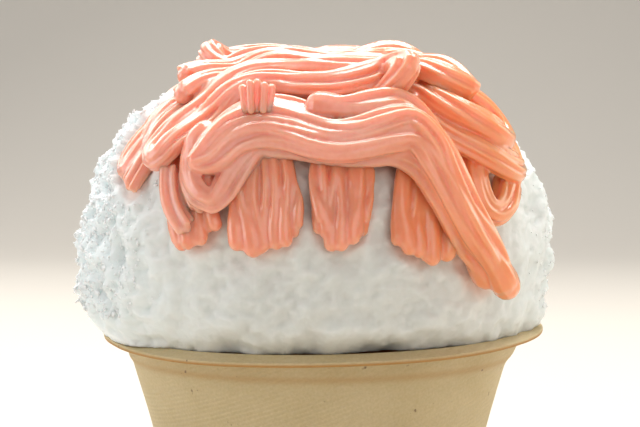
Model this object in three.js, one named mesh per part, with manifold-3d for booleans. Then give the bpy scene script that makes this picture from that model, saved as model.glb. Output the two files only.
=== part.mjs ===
// Kakigori: a moulded-fibre cup heaped with shaved ice, topped with piped ropes of thin
// pink cream strands. Millimetres, +Z up, the cup's underside on z = 0 with its axis on
// x = y = 0. The front of the serving faces -Y.
import * as THREE from 'three';
import { mergeVertices } from 'three/addons/utils/BufferGeometryUtils.js';
import Module from 'manifold-3d';

const wasm = await Module();
wasm.setup();

// ---- driving dimensions ----------------------------------------------------------------

const GAP = 0.3; // air between neighbouring solids
const WELD = 0.02; // corners nearer than this are made one after a cut

const CUP = {
  height: 60.4,
  baseRadius: 35.5,
  footRound: 2.5, // radius of the edge between base and wall
  floor: 1.6,
  wall: 1.1,
  shoulderZ: 52, // where the wall steps out below the rim
  shoulderRadius: 50.2,
  stepRadius: 51.7,
  neckRadius: 53.2,
  rimRadius: 59,
  rimThickness: 1.2,
  segments: 42,
};

// The soft rim sits a little to +X of the base and hangs lower on the -X side, and at the
// front its flat flange droops outwards.
const RIM = { shiftX: 1.1, tiltZ: 1.0, from: 50, to: 58, droop: 1.8 };

// The heap of ice is a superellipsoid about its centre, with lumps on it.
const MOUND = { centreZ: 80, radius: 60, rise: 46.5, fall: 45, power: 2.4 };
const ICE = { around: 42, edgeRadius: 57.5, edgeSway: 1.6, lowest: -14, domeRows: 11 };

// Each lump: [azimuth, elevation, height, half-width]; angles in degrees about the mound's
// centre, azimuth 0 at the front and growing towards +X, height in mm.
const LUMPS = [
  [-85, -4, 2.4, 22],
  [-72, 33, 1.6, 14],
  [-40, 2, 1.2, 18],
  [-12, -6, 1.5, 20],
  [30, 0, 1.0, 16],
  [84, 7, 1.8, 16],
  [140, -2, 1.6, 24],
  [-150, 4, 1.4, 22],
];

// A rope is the flattened bundle of strands that leaves the nozzle: an arch over a flat
// underside, its corners given as angles about its centre line. Its stations are a step apart.
const ARCH = { corners: [-20, 35, 90, 145, 200], step: 14 };

// Ropes are routed on a flat map of the mound: degrees from the top, first towards +X,
// then towards the front.
// The first pass covers the top with an even bed, which reaches further at the right, and
// hangs from it in four wide tongues. Those at the back are the same, but shorter.
const BED = { height: 3.6, reach: 36, shift: 8, sway: 3, around: 24 };
const TONGUES = [
  { middle: -40, lowest: 73, width: 12.5 },
  { middle: -17, lowest: 82, width: 18 },
  { middle: 6.5, lowest: 82, width: 14.5 },
  { middle: 34, lowest: 79, width: 18 },
];
const TONGUE = { length: 46, lean: 7, backShare: 0.86, thickness: 4.6, sink: 0.8 };

// The second pass runs from side to side. A row rises over the tongues and sags between
// them. The lowest rows draw together into a tail, and the others fall away at their ends.
const ROW = { width: 8.2, thickness: 6.8, sink: 2 };
const TAIL_ROW = { ...ROW, sink: 3.2 };
const SHOULDER_ROW = { ...ROW, thickness: 4.4 };
const DROP = { width: 5.5, thickness: 4.6, sink: 2, bow: 2 };
const SPACING = 6; // degrees between the points of a row's route
const SWING = 3; // how far a turn between two rows swings out beyond their ends
const DRAPE = { crest: -16, period: 41, depth: 6 };
const TAIL = { front: 68, from: 24, to: 49 };
const LEFT = { from: 22, to: 60, fall: 16 };
const RIGHT = { from: 16, to: 46, fall: 16 };
const RIGHT_TURN = { middle: [37, 36], reach: [19, 12], innerShare: 0.6 };
const RIGHT_HOOK = { middle: [50, 47], reach: [6.5, 10] };
const HANGING_START = { middle: [-28.5, 60], reach: [5, 7.5] };

// The rows of each stroke: their levels towards the front at the crest, and their two ends.
const SHOULDER_ROWS = [[25, -58, -32], [18, -58, -32], [11, -50, -32]];
const LEFT_DROPS = [[-35, 52, 15], [-40.5, 54, 15]]; // place, start and length
const FOLDED_ROWS = [
  [48, -27, 16, { rise: 5 }],
  [37, -42, 16, { rise: 2 }],
  [30, -40, 28],
  [21, -35, 35],
];
const SHORT_ROW = [47, 0, 38];
const LOWEST_ROW = [59, -18, 59, { tail: 1.2, depth: 2.5 }];
const TURNED_ROWS = [
  [57, -27, 62, { tail: 0, depth: 4 }],
  [53, -28, 65, { tail: -1.2 }],
];
const TOP_ROWS = [[12, -34, 16], [4, -27, 15], [-5, -26, 45]];

// Behind the top the rows are even: the first one's place, their spacing and their length.
const BACK_ROWS = { count: 6, first: -12, pitch: 8.5, halfLength: 37 };
const STUB = { place: [-14.5, 53], radius: 3.6, height: 6, sides: 8 };

// ---- shared helpers --------------------------------------------------------------------

const degrees = THREE.MathUtils.degToRad;

function closedGeometry(positions, indices) {
  const geometry = new THREE.BufferGeometry();
  geometry.setAttribute('position', new THREE.Float32BufferAttribute(positions, 3));
  geometry.setIndex(indices);
  return geometry;
}

/** Rings of equal length, joined one to the next and closed by a point at either end. */
function ringsGeometry(first, rings, last) {
  const count = rings[0].length;
  const positions = [first, ...rings.flat(), last].flatMap((point) => point.toArray());
  const at = (ring, side) => 1 + ring * count + (side % count);
  const end = 1 + rings.length * count;
  const indices = [];
  for (let side = 0; side < count; side += 1) {
    indices.push(0, at(0, side + 1), at(0, side));
    for (let ring = 0; ring + 1 < rings.length; ring += 1) {
      const [a, b] = [at(ring, side), at(ring, side + 1)];
      const [c, d] = [at(ring + 1, side), at(ring + 1, side + 1)];
      indices.push(a, b, d, a, d, c);
    }
    indices.push(end, at(rings.length - 1, side), at(rings.length - 1, side + 1));
  }
  return closedGeometry(positions, indices);
}

function toSolid(geometry, tolerance = 1e-4) {
  const bare = geometry.clone();
  bare.deleteAttribute('normal');
  bare.deleteAttribute('uv');
  const merged = mergeVertices(bare, tolerance);
  return new wasm.Manifold(
    new wasm.Mesh({
      numProp: 3,
      vertProperties: new Float32Array(merged.attributes.position.array),
      triVerts: new Uint32Array(merged.index.array),
    }),
  );
}

function toGeometry(solid) {
  const mesh = solid.getMesh();
  return closedGeometry(Array.from(mesh.vertProperties), Array.from(mesh.triVerts));
}

/** Moves a point with the soft rim; the shift fades in below the rim and out above it. */
function bendWithRim(point) {
  const fadeIn = THREE.MathUtils.smoothstep(point.z, RIM.from, RIM.to);
  const fadeOut = 1 - THREE.MathUtils.smoothstep(point.z, CUP.height + 4, MOUND.centreZ);
  const amount = fadeIn * fadeOut;
  const tilt = (RIM.tiltZ * point.x) / CUP.rimRadius;
  const level = Math.max(Math.hypot(point.x, point.y), 1e-6);
  const flange = THREE.MathUtils.smoothstep(level, CUP.neckRadius, CUP.rimRadius);
  const droop = RIM.droop * flange * Math.max(-point.y / level, 0) ** 2;
  return new THREE.Vector3(
    point.x + RIM.shiftX * amount,
    point.y,
    point.z + (tilt - droop) * amount,
  );
}

// ---- the mound's surface ---------------------------------------------------------------

const centre = new THREE.Vector3(0, 0, MOUND.centreZ);

/** Distance from the mound's centre to its smooth surface in a unit direction. */
function moundRadius(direction) {
  const level = Math.hypot(direction.x, direction.y);
  const height = direction.z > 0 ? MOUND.rise : MOUND.fall;
  const sum = (level / MOUND.radius) ** MOUND.power + (Math.abs(direction.z) / height) ** MOUND.power;
  return sum ** (-1 / MOUND.power);
}

/** Height of the ice's lumps: the named ones, and a slow ripple everywhere. */
function lumpHeight(direction) {
  const azimuth = THREE.MathUtils.radToDeg(Math.atan2(direction.x, -direction.y));
  const elevation = THREE.MathUtils.radToDeg(Math.asin(direction.z));
  const named = LUMPS.map(([lumpAzimuth, lumpElevation, height, width]) => {
    const turn = THREE.MathUtils.euclideanModulo(azimuth - lumpAzimuth + 180, 360) - 180;
    const across = turn * Math.cos(degrees(elevation));
    return height * Math.exp(-(across ** 2 + (elevation - lumpElevation) ** 2) / width ** 2);
  });
  const ripple = 0.5 * Math.sin(7 * degrees(azimuth) + 1.3) * Math.sin(9 * degrees(elevation));
  return named.reduce((sum, height) => sum + height, ripple * Math.cos(degrees(elevation)));
}

/** Unit direction of a map point, given in degrees from the top. */
function mapDirection(right, front) {
  const reach = Math.max(Math.hypot(right, front), 1e-6);
  const level = Math.sin(degrees(reach)) / reach;
  return new THREE.Vector3(level * right, -level * front, Math.cos(degrees(reach)));
}

/** Point at a height above the smooth mound, over a map point. */
function moundPoint(right, front, height) {
  const direction = mapDirection(right, front);
  return direction.multiplyScalar(moundRadius(direction) + height).add(centre);
}

// ---- cup -------------------------------------------------------------------------------

/** Half-section of the cup, from the middle of its underside round to the middle of its floor. */
function cupProfile() {
  const { footRound: round, baseRadius, height, rimThickness, rimRadius } = CUP;
  const slope = Math.atan2(CUP.shoulderRadius - baseRadius, CUP.shoulderZ - round);
  const profile = [new THREE.Vector2(0, 0)];
  for (let step = 0; step <= 3; step += 1) {
    const turn = (step / 3) * (Math.PI / 2 - slope);
    profile.push(new THREE.Vector2(
      baseRadius - round + round * Math.sin(turn),
      round - round * Math.cos(turn),
    ));
  }
  const rimUnder = height - rimThickness;
  profile.push(
    new THREE.Vector2(CUP.shoulderRadius, CUP.shoulderZ),
    new THREE.Vector2(CUP.stepRadius, CUP.shoulderZ + 1.8),
    new THREE.Vector2(CUP.neckRadius, rimUnder - 1.2),
    new THREE.Vector2(CUP.neckRadius + 1, rimUnder),
    new THREE.Vector2(rimRadius, rimUnder),
    new THREE.Vector2(rimRadius, height),
    ...cupInside(0),
  );
  return profile;
}

/** The cup's inner face from the top of the rim down to the floor, moved inwards by a gap. */
function cupInside(gap) {
  const { wall, baseRadius, height, floor, rimThickness } = CUP;
  const inset = wall + gap;
  return [
    new THREE.Vector2(CUP.neckRadius + 0.6 - gap, height + gap),
    new THREE.Vector2(CUP.neckRadius - inset, height - rimThickness - 0.8),
    new THREE.Vector2(CUP.stepRadius - inset, CUP.shoulderZ + 2.2),
    new THREE.Vector2(CUP.shoulderRadius - inset, CUP.shoulderZ + 0.4),
    new THREE.Vector2(baseRadius - 0.4 - inset, floor + 2 + gap),
    new THREE.Vector2(baseRadius - 2.4 - inset, floor + gap),
    new THREE.Vector2(0, floor + gap),
  ];
}

function makeCup() {
  const lathe = new THREE.LatheGeometry(cupProfile(), CUP.segments).rotateX(Math.PI / 2);
  const position = lathe.attributes.position;
  for (let index = 0; index < position.count; index += 1) {
    const moved = bendWithRim(new THREE.Vector3().fromBufferAttribute(position, index));
    position.setXYZ(index, moved.x, moved.y, moved.z);
  }
  return lathe;
}

// ---- ice -------------------------------------------------------------------------------

/** The ice that fills the cup and heaps over its rim, or that shape grown by a margin. */
function makeIce(margin) {
  const inside = cupInside(GAP).reverse();
  const elevations = Array.from(
    { length: ICE.domeRows },
    (_, row) => ICE.lowest + ((90 - ICE.lowest) * row) / ICE.domeRows,
  );
  const rings = [...inside.slice(1), null, ...elevations].map((level) =>
    Array.from({ length: ICE.around }, (_, side) => {
      const azimuth = (side / ICE.around) * Math.PI * 2;
      const outward = new THREE.Vector3(Math.sin(azimuth), -Math.cos(azimuth), 0);
      if (level instanceof THREE.Vector2) {
        return bendWithRim(outward.multiplyScalar(level.x).setZ(level.y));
      }
      if (level === null) {
        const sway = ICE.edgeSway * (Math.sin(5 * azimuth + 0.7) - Math.sin(azimuth));
        return bendWithRim(outward.multiplyScalar(ICE.edgeRadius + sway).setZ(CUP.height + GAP));
      }
      const rise = degrees(level);
      const direction = outward.multiplyScalar(Math.cos(rise)).setZ(Math.sin(rise));
      const reach = moundRadius(direction) + lumpHeight(direction) + margin;
      return direction.multiplyScalar(reach).add(centre);
    }));
  const bottom = new THREE.Vector3(0, 0, inside[0].y);
  const top = new THREE.Vector3(0, 0, MOUND.centreZ + MOUND.rise + margin);
  return ringsGeometry(bottom, rings, top);
}

// ---- cream -----------------------------------------------------------------------------

const CELL = 2; // degrees of the map in one cell of the height grid
const heights = new Map(); // height of what already lies on each cell, above the mound

function cellsAround(right, front, reach) {
  const cells = [];
  for (let i = Math.ceil((right - reach) / CELL); i * CELL <= right + reach; i += 1) {
    for (let j = Math.ceil((front - reach) / CELL); j * CELL <= front + reach; j += 1) {
      const away = Math.hypot(i * CELL - right, j * CELL - front);
      if (away <= reach) {
        cells.push({ key: `${i},${j}`, away });
      }
    }
  }
  return cells;
}

/** Reach of the bed in degrees; azimuth 0 is the front and grows towards +X. */
function bedEdge(azimuth) {
  return BED.reach + BED.shift * Math.sin(azimuth) + BED.sway * Math.sin(3 * azimuth + 1);
}

/** Lays a rope over what is already there and returns its centre line as [right, front, height]. */
function layRope(route, { width, thickness, sink }) {
  const flat = new THREE.CatmullRomCurve3(route.map(([u, v]) => new THREE.Vector3(u, v, 0)));
  const points = flat.getSpacedPoints(Math.max(4, Math.round(flat.getLength() / ARCH.step)));
  const reach = width / 2;
  const support = points.map((point) =>
    Math.max(
      Math.hypot(point.x, point.y) < bedEdge(Math.atan2(point.x, point.y)) ? BED.height : 0,
      ...cellsAround(point.x, point.y, reach * 0.6).map(({ key }) => heights.get(key) ?? 0),
    ));
  const line = points.map((point, index) => {
    const before = support[Math.max(index - 1, 0)];
    const after = support[Math.min(index + 1, points.length - 1)];
    const rest = (before + 2 * support[index] + after) / 4;
    return [point.x, point.y, Math.max(rest - sink, -0.6) + thickness / 2];
  });
  for (const [right, front, height] of line) {
    for (const { key, away } of cellsAround(right, front, reach)) {
      const crown = height + (thickness / 2) * Math.sqrt(1 - (away / reach) ** 2);
      heights.set(key, Math.max(heights.get(key) ?? 0, crown));
    }
  }
  return line;
}

/** A flattened tube with blunt round ends along a laid centre line. */
function ropeGeometry(line, { width, thickness }) {
  const centres = line.map(([right, front, height]) => moundPoint(right, front, height));
  const path = new THREE.CatmullRomCurve3(centres);
  const stations = centres.map((_, index) => index / (centres.length - 1));
  const ring = (share, scale, shift) => {
    const along = path.getTangent(share);
    const middle = path.getPoint(share).addScaledVector(along, shift);
    const out = middle.clone().sub(centre).normalize();
    const side = new THREE.Vector3().crossVectors(out, along).normalize();
    const up = new THREE.Vector3().crossVectors(along, side);
    return ARCH.corners.map((corner) => middle.clone()
      .addScaledVector(side, (Math.cos(degrees(corner)) * scale * width) / 2)
      .addScaledVector(up, (Math.sin(degrees(corner)) * scale * thickness) / 2));
  };
  const bulge = thickness / 2;
  const rings = [
    ring(0, 0.7, -0.7 * bulge),
    ...stations.map((share) => ring(share, 1, 0)),
    ring(1, 0.7, 0.7 * bulge),
  ];
  const first = centres[0].clone().addScaledVector(path.getTangent(0), -bulge);
  const last = centres.at(-1).clone().addScaledVector(path.getTangent(1), bulge);
  return ringsGeometry(first, rings, last);
}

/** A tongue of the first pass, hanging at the front (sense 1) or at the back (-1). */
function tonguePath({ middle, lowest }, sense) {
  const low = sense > 0 ? lowest : TONGUE.backShare * lowest;
  const lean = TONGUE.lean * THREE.MathUtils.smoothstep(middle, 10, 40);
  return [1, 0.5, 0].map((share) => [middle - lean * share, sense * (low - share * TONGUE.length)]);
}

/** A short hanging end: down by its length, bowed outwards. */
function dropPath(right, start, length) {
  return [0, 0.5, 1].map((share) => [
    right + Math.sign(right) * DROP.bow * Math.sin(Math.PI * share),
    start + length * share,
  ]);
}

/**
 * A row's route: level + depth * (1 - cos(turns since the crest)) / 2, with its ends' fall.
 * tail is the row's place across the tail, or null for a row that doesn't join it.
 */
function rowPath(level, left, right, { tail = null, depth = DRAPE.depth, rise = 0 } = {}) {
  const count = Math.max(2, Math.floor((right - left) / SPACING));
  return Array.from({ length: count + 1 }, (_, index) => {
    const across = left + ((right - left) * index) / count;
    const turns = (2 * Math.PI * (across - DRAPE.crest)) / DRAPE.period;
    let front = level + (depth * (1 - Math.cos(turns))) / 2;
    front += LEFT.fall * THREE.MathUtils.smoothstep(-across, LEFT.from, LEFT.to);
    if (tail !== null) {
      const share = THREE.MathUtils.clamp((across - TAIL.from) / (TAIL.to - TAIL.from), 0, 1);
      front += (TAIL.front + tail - front) * Math.sin((share * Math.PI) / 2);
    } else {
      front += RIGHT.fall * THREE.MathUtils.smoothstep(across, RIGHT.from, RIGHT.to);
    }
    return [across, front - (rise ? rise * THREE.MathUtils.smoothstep(across, 0, right) : 0)];
  });
}

/** Part of an oval on the map; degrees from the right, growing towards the front. */
function arcPath([right, front], [reachRight, reachFront], start, end) {
  return Array.from({ length: 7 }, (_, index) => {
    const turn = degrees(start + ((end - start) * index) / 6);
    return [right + reachRight * Math.cos(turn), front + reachFront * Math.sin(turn)];
  });
}

/** Rows as one stroke, every second one reversed, with a turn a swing beyond each end. */
function stroke(rows, swing) {
  return rows.slice(1).reduce((path, row, index) => {
    const following = index % 2 === 0 ? row.toReversed() : row;
    const [last, next] = [path.at(-1), following[0]];
    const outward = Math.sign(last[0]) * swing;
    return [...path, [(last[0] + next[0]) / 2 + outward, (last[1] + next[1]) / 2], ...following];
  }, rows[0]);
}

function backRow(index) {
  const { first, pitch, halfLength } = BACK_ROWS;
  return [-1, -0.67, -0.33, 0, 0.33, 0.67, 1].map((share) => [
    share * (halfLength + 2 * index),
    first - index * pitch + 2 * Math.sin(3 * share + 2.1 * index) + 3 * share ** 2,
  ]);
}

/** Every rope of the second pass, in the order of piping, as [route, sizes]. */
function secondPass() {
  const rows = (list) => list.map((row) => rowPath(...row));
  const shoulder = SHOULDER_ROWS.map((row) => rowPath(...row, { depth: 0 }));
  const { middle, reach, innerShare } = RIGHT_TURN;
  const innerReach = reach.map((value) => innerShare * value);
  const hangingStart = arcPath(HANGING_START.middle, HANGING_START.reach, 270, 90);
  const back = Array.from({ length: BACK_ROWS.count }, (_, index) => backRow(index));
  return [
    [stroke(shoulder, SWING), SHOULDER_ROW],
    ...LEFT_DROPS.map((drop) => [dropPath(...drop), DROP]),
    [arcPath(RIGHT_HOOK.middle, RIGHT_HOOK.reach, 200, -20), ROW],
    [arcPath(middle, reach, 140, -95), ROW],
    [arcPath(middle, innerReach, 175, -130), ROW],
    [stroke(rows(FOLDED_ROWS), SWING), ROW],
    [rowPath(...SHORT_ROW), TAIL_ROW],
    [[...hangingStart, ...rowPath(...LOWEST_ROW)], TAIL_ROW],
    [stroke(rows(TURNED_ROWS).map((row) => row.toReversed()), SWING), TAIL_ROW],
    [stroke(rows(TOP_ROWS), SWING), ROW],
    [stroke(back, SWING), ROW],
  ];
}

/** The even layer that the first pass leaves over the top of the ice. */
function bedGeometry() {
  const ring = (share, height) => Array.from({ length: BED.around }, (_, side) => {
    const azimuth = (side / BED.around) * Math.PI * 2;
    const reach = share * bedEdge(azimuth);
    return moundPoint(reach * Math.sin(azimuth), reach * Math.cos(azimuth), height);
  });
  const under = [1 / 3, 2 / 3, 1].map((share) => ring(share, -4));
  const over = [1, 0.92, 0.6, 0.3].map((share, index) => ring(share, index ? BED.height : 0));
  return ringsGeometry(moundPoint(0, 0, -4), [...under, ...over], moundPoint(0, 0, BED.height));
}

/** The upright ends of a few strands, left on the first crest where the nozzle lifted off. */
function stubGeometry() {
  const [cell] = cellsAround(...STUB.place, CELL);
  const foot = moundPoint(...STUB.place, (heights.get(cell.key) ?? BED.height) - 3);
  const ring = (height, radius) => Array.from({ length: STUB.sides }, (_, side) => {
    const turn = (side / STUB.sides) * Math.PI * 2;
    return foot.clone().add(new THREE.Vector3(
      radius * Math.cos(turn),
      radius * Math.sin(turn),
      height,
    ));
  });
  const top = STUB.height + 3;
  const rings = [ring(0, STUB.radius), ring(top - 1, STUB.radius), ring(top, STUB.radius - 1)];
  return ringsGeometry(foot, rings, foot.clone().setZ(foot.z + top));
}

function largestBody(solid) {
  const bodies = solid.decompose().filter((body) => body.volume() > 0);
  return bodies.reduce((best, body) => (body.volume() > best.volume() ? body : best));
}

/** All the ropes in the order they were piped, joined and hollowed to sit on the ice. */
function makeCream() {
  const hanging = [-1, 1].flatMap((sense) => TONGUES.map((tongue) => [
    tonguePath(tongue, sense),
    { ...TONGUE, width: tongue.width },
  ]));
  const ropes = [...hanging, ...secondPass()].map(([route, sizes]) =>
    toSolid(ropeGeometry(layRope(route, sizes), sizes)));
  const start = toSolid(bedGeometry()).add(toSolid(stubGeometry()));
  const joined = ropes.reduce((sum, next) => sum.add(next), start);
  const seated = largestBody(joined.subtract(toSolid(makeIce(GAP))));
  // Making near corners one can close off a pocket between ropes, so it is dropped after that.
  return toGeometry(largestBody(toSolid(toGeometry(seated), WELD)));
}

// ---- materials and the serving ---------------------------------------------------------

const fibre = new THREE.MeshStandardMaterial({ color: 0xcbb489, roughness: 0.85, metalness: 0 });
const snow = new THREE.MeshStandardMaterial({ color: 0xf2f3f0, roughness: 0.6, metalness: 0 });
const pink = new THREE.MeshStandardMaterial({ color: 0xeeab94, roughness: 0.35, metalness: 0 });

function named(name, geometry, material) {
  const mesh = new THREE.Mesh(geometry, material);
  mesh.name = name;
  return mesh;
}

const kakigori = new THREE.Group();
kakigori.add(
  named('cup', makeCup(), fibre),
  named('ice', makeIce(0), snow),
  named('cream', makeCream(), pink),
);

export default kakigori;
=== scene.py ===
# %% [markdown]
# # Kakigori in a moulded-fibre cup
#
# The serving is a flared cup of unbleached plant fibre, a round heap of shaved ice, and
# ropes of thin pink cream strands that a nozzle with many holes piped over the heap: first
# to and fro from front to back, then in rows from side to side. This file gives each of
# them its final surface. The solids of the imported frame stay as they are; each is hidden
# and replaced by a finer piece of the same size.
#
# Lengths are written in millimetres and turned into Blender's metres in one place, where a
# mesh is made, because the sizes are then easy to compare with a ruler.

import itertools
import math

import bpy
import numpy as np
from mathutils import Matrix


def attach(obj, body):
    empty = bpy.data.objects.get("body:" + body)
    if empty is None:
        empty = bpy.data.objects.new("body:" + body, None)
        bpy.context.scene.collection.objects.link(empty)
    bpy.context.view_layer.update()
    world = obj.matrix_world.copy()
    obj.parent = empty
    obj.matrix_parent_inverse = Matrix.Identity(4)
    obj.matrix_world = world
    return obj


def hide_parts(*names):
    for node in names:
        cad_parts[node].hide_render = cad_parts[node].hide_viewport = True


MM = 0.001

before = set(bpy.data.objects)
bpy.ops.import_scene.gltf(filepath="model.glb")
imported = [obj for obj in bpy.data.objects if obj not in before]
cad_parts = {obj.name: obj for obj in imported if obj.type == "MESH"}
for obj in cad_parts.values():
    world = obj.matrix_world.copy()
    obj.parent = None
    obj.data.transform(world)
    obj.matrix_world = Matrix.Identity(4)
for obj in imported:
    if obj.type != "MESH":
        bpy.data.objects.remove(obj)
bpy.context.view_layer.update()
print("frame nodes:", sorted(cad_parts))

# %% [markdown]
# ## The camera
#
# The serving is seen from the front and only a little from above, at arm's length, so the
# rim shows as a thin ellipse and the heap hides its own back. A long lens keeps the cup's
# sides nearly parallel. It is made first, so that every later test render is already framed.

# %% Camera
CAMERA_DISTANCE = 520.0
CAMERA_ELEVATION = math.radians(3.7)
CAMERA_TARGET = np.array([0.1, 0.0, 91.0])
CAMERA_LENS = 108.6


def link_object(name, data):
    """A new object for a camera, a mesh or a light, placed in the scene."""
    made = bpy.data.objects.new(name, data)
    bpy.context.scene.collection.objects.link(made)
    return made


camera_data = bpy.data.cameras.new("camera")
camera_data.lens = CAMERA_LENS
camera_data.sensor_width = 36.0
camera_data.clip_start = 0.01
camera_data.clip_end = 20.0
camera = link_object("camera", camera_data)
camera_offset = np.array([0.0, -math.cos(CAMERA_ELEVATION), math.sin(CAMERA_ELEVATION)])
camera.location = (CAMERA_TARGET + CAMERA_DISTANCE * camera_offset) * MM
camera.rotation_euler = (math.pi / 2 - CAMERA_ELEVATION, 0.0, 0.0)
bpy.context.scene.camera = camera
print("camera at", tuple(round(value, 3) for value in camera.location))

# %% [markdown]
# ## Meshes from arrays
#
# Every shape here is a grid of points that a formula fills, or many such grids of the same
# size. One helper turns points and faces into a mesh with whole-array calls, which is far
# quicker than adding faces one at a time, and another works out the faces of a stack of
# grids that close round in one direction and end in a point at both ends, like a tube.

# %% Mesh helpers
LATTICE = 32  # corners of the noise's lattice before it repeats


def add_mesh(name, points, quads, triangles, values=None):
    """A smooth mesh object from points in millimetres and corners of quads and triangles.

    values maps the name of a point attribute to its array of numbers.
    """
    mesh = bpy.data.meshes.new(name)
    corners = np.concatenate([quads.ravel(), triangles.ravel()]).astype(np.int32)
    sizes = np.concatenate([np.full(len(quads), 4), np.full(len(triangles), 3)])
    starts = np.concatenate([[0], np.cumsum(sizes)[:-1]]).astype(np.int32)
    mesh.vertices.add(len(points))
    mesh.vertices.foreach_set("co", (points * MM).astype(np.float32).ravel())
    mesh.loops.add(len(corners))
    mesh.loops.foreach_set("vertex_index", corners)
    mesh.polygons.add(len(sizes))
    mesh.polygons.foreach_set("loop_start", starts)
    mesh.polygons.foreach_set("use_smooth", np.ones(len(sizes), bool))
    for key, numbers in (values or {}).items():
        attribute = mesh.attributes.new(key, "FLOAT", "POINT")
        attribute.data.foreach_set("value", numbers.astype(np.float32).ravel())
    mesh.update(calc_edges=True)
    mesh.validate()
    return link_object(name, mesh)


def tube_faces(tubes, rings, sides):
    """Corners of many closed tubes, each stored as a first pole, its rings and a last pole.

    Quad corners step once along and once round; the poles are fans of triangles.
    """
    size = rings * sides + 2
    start = (np.arange(tubes) * size)[:, None, None]
    ring = np.arange(rings - 1)[None, :, None] * sides + 1
    side = np.arange(sides)[None, None, :]
    after = (side + 1) % sides
    low, high = start + ring, start + ring + sides
    quads = np.stack([low + side, low + after, high + after, high + side], -1)
    first, last = start[:, 0], start[:, 0] + size - 1
    top = last - sides
    side, after = side[0], after[0]
    fans = [
        np.stack([first + 0 * side, first + 1 + after, first + 1 + side], -1),
        np.stack([last + 0 * side, top + side, top + after], -1),
    ]
    return quads.reshape(-1, 4), np.concatenate([fan.reshape(-1, 3) for fan in fans])


def lattice_noise(points, cell, seed):
    """Smooth noise from -1 to 1: random numbers on a cubic lattice, eased between corners.

    The lattice is turned at random for each seed, so that no pattern lines up with the axes.
    """
    rng = np.random.default_rng(seed)
    table = rng.uniform(-1, 1, (LATTICE, LATTICE, LATTICE))
    points = points @ np.linalg.qr(rng.normal(size=(3, 3)))[0]
    base = np.floor(points / cell).astype(int)
    part = points / cell - base
    part = part * part * (3 - 2 * part)
    total = np.zeros(points.shape[:-1])
    for corner in itertools.product((0, 1), repeat=3):
        weight = np.prod(np.where(np.array(corner) == 1, part, 1 - part), axis=-1)
        index = (base + corner) % LATTICE
        total += weight * table[index[..., 0], index[..., 1], index[..., 2]]
    return total


def smooth_step(values, low, high):
    """0 below low, 1 above high, eased between."""
    share = np.clip((values - low) / (high - low), 0, 1)
    return share * share * (3 - 2 * share)


print("helpers ready")

# %% [markdown]
# ## The heap's surface
#
# The ice was packed by hand into a rounded heap that bulges a little over the rim. Its
# smooth form is a superellipsoid: the sum of two powers, one of the distance from the axis
# and one of the height, is 1. A short list of broad lumps makes it uneven. The cream is laid
# on this same form, so it is a function that any piece can ask for the surface in a direction.

# %% Heap form
MOUND_RADIUS = 60.0
MOUND_RISE = 46.5
MOUND_FALL = 45.0
MOUND_POWER = 2.4
MOUND_CENTRE = np.array([0.0, 0.0, 80.0])

# azimuth and elevation in degrees (0 is the front, growing to the right), height, half-width
LUMPS = (
    (-85, -4, 2.4, 22),
    (-72, 33, 1.6, 14),
    (-40, 2, 1.2, 18),
    (-12, -6, 1.5, 20),
    (30, 0, 1.0, 16),
    (84, 7, 1.8, 16),
    (140, -2, 1.6, 24),
    (-150, 4, 1.4, 22),
)


def azimuth_of(direction):
    """Turn round the axis in radians: 0 is the front, growing to the right."""
    return np.arctan2(direction[..., 0], -direction[..., 1])


def direction_at(azimuth, rise):
    """Unit vectors from a turn round the axis and a rise above the level, in radians."""
    level = np.cos(rise)
    return np.stack(
        [level * np.sin(azimuth), -level * np.cos(azimuth), np.sin(rise) + 0 * azimuth], -1
    )


def mound_radius(direction):
    """Distance from the centre to the smooth heap: ((level/R)^p + (|height|/H)^p)^(-1/p)."""
    level = np.hypot(direction[..., 0], direction[..., 1])
    height = np.where(direction[..., 2] > 0, MOUND_RISE, MOUND_FALL)
    total = (level / MOUND_RADIUS) ** MOUND_POWER
    total = total + (np.abs(direction[..., 2]) / height) ** MOUND_POWER
    return total ** (-1 / MOUND_POWER)


def lump_height(direction):
    """Height of the broad lumps: a bell curve of the angle from each lump's middle."""
    azimuth = np.degrees(azimuth_of(direction))
    elevation = np.degrees(np.arcsin(np.clip(direction[..., 2], -1, 1)))
    total = np.zeros(azimuth.shape)
    for lump_azimuth, lump_elevation, height, width in LUMPS:
        turn = (azimuth - lump_azimuth + 180) % 360 - 180
        across = turn * np.cos(np.radians(elevation))
        away = across**2 + (elevation - lump_elevation) ** 2
        total += height * np.exp(-away / width**2)
    return total


def map_direction(right, front):
    """Directions of map points: degrees from the top, towards the right and the front."""
    reach = np.maximum(np.hypot(right, front), 1e-6)
    level = np.sin(np.radians(reach)) / reach
    return np.stack([level * right, -level * front, np.cos(np.radians(reach))], -1)


def mound_point(right, front, height):
    """Points at a height above the smooth heap, over map points."""
    direction = map_direction(right, front)
    reach = mound_radius(direction) + height
    return MOUND_CENTRE + direction * reach[..., None]


print("heap centre", MOUND_CENTRE, "widest", MOUND_RADIUS)
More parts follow.
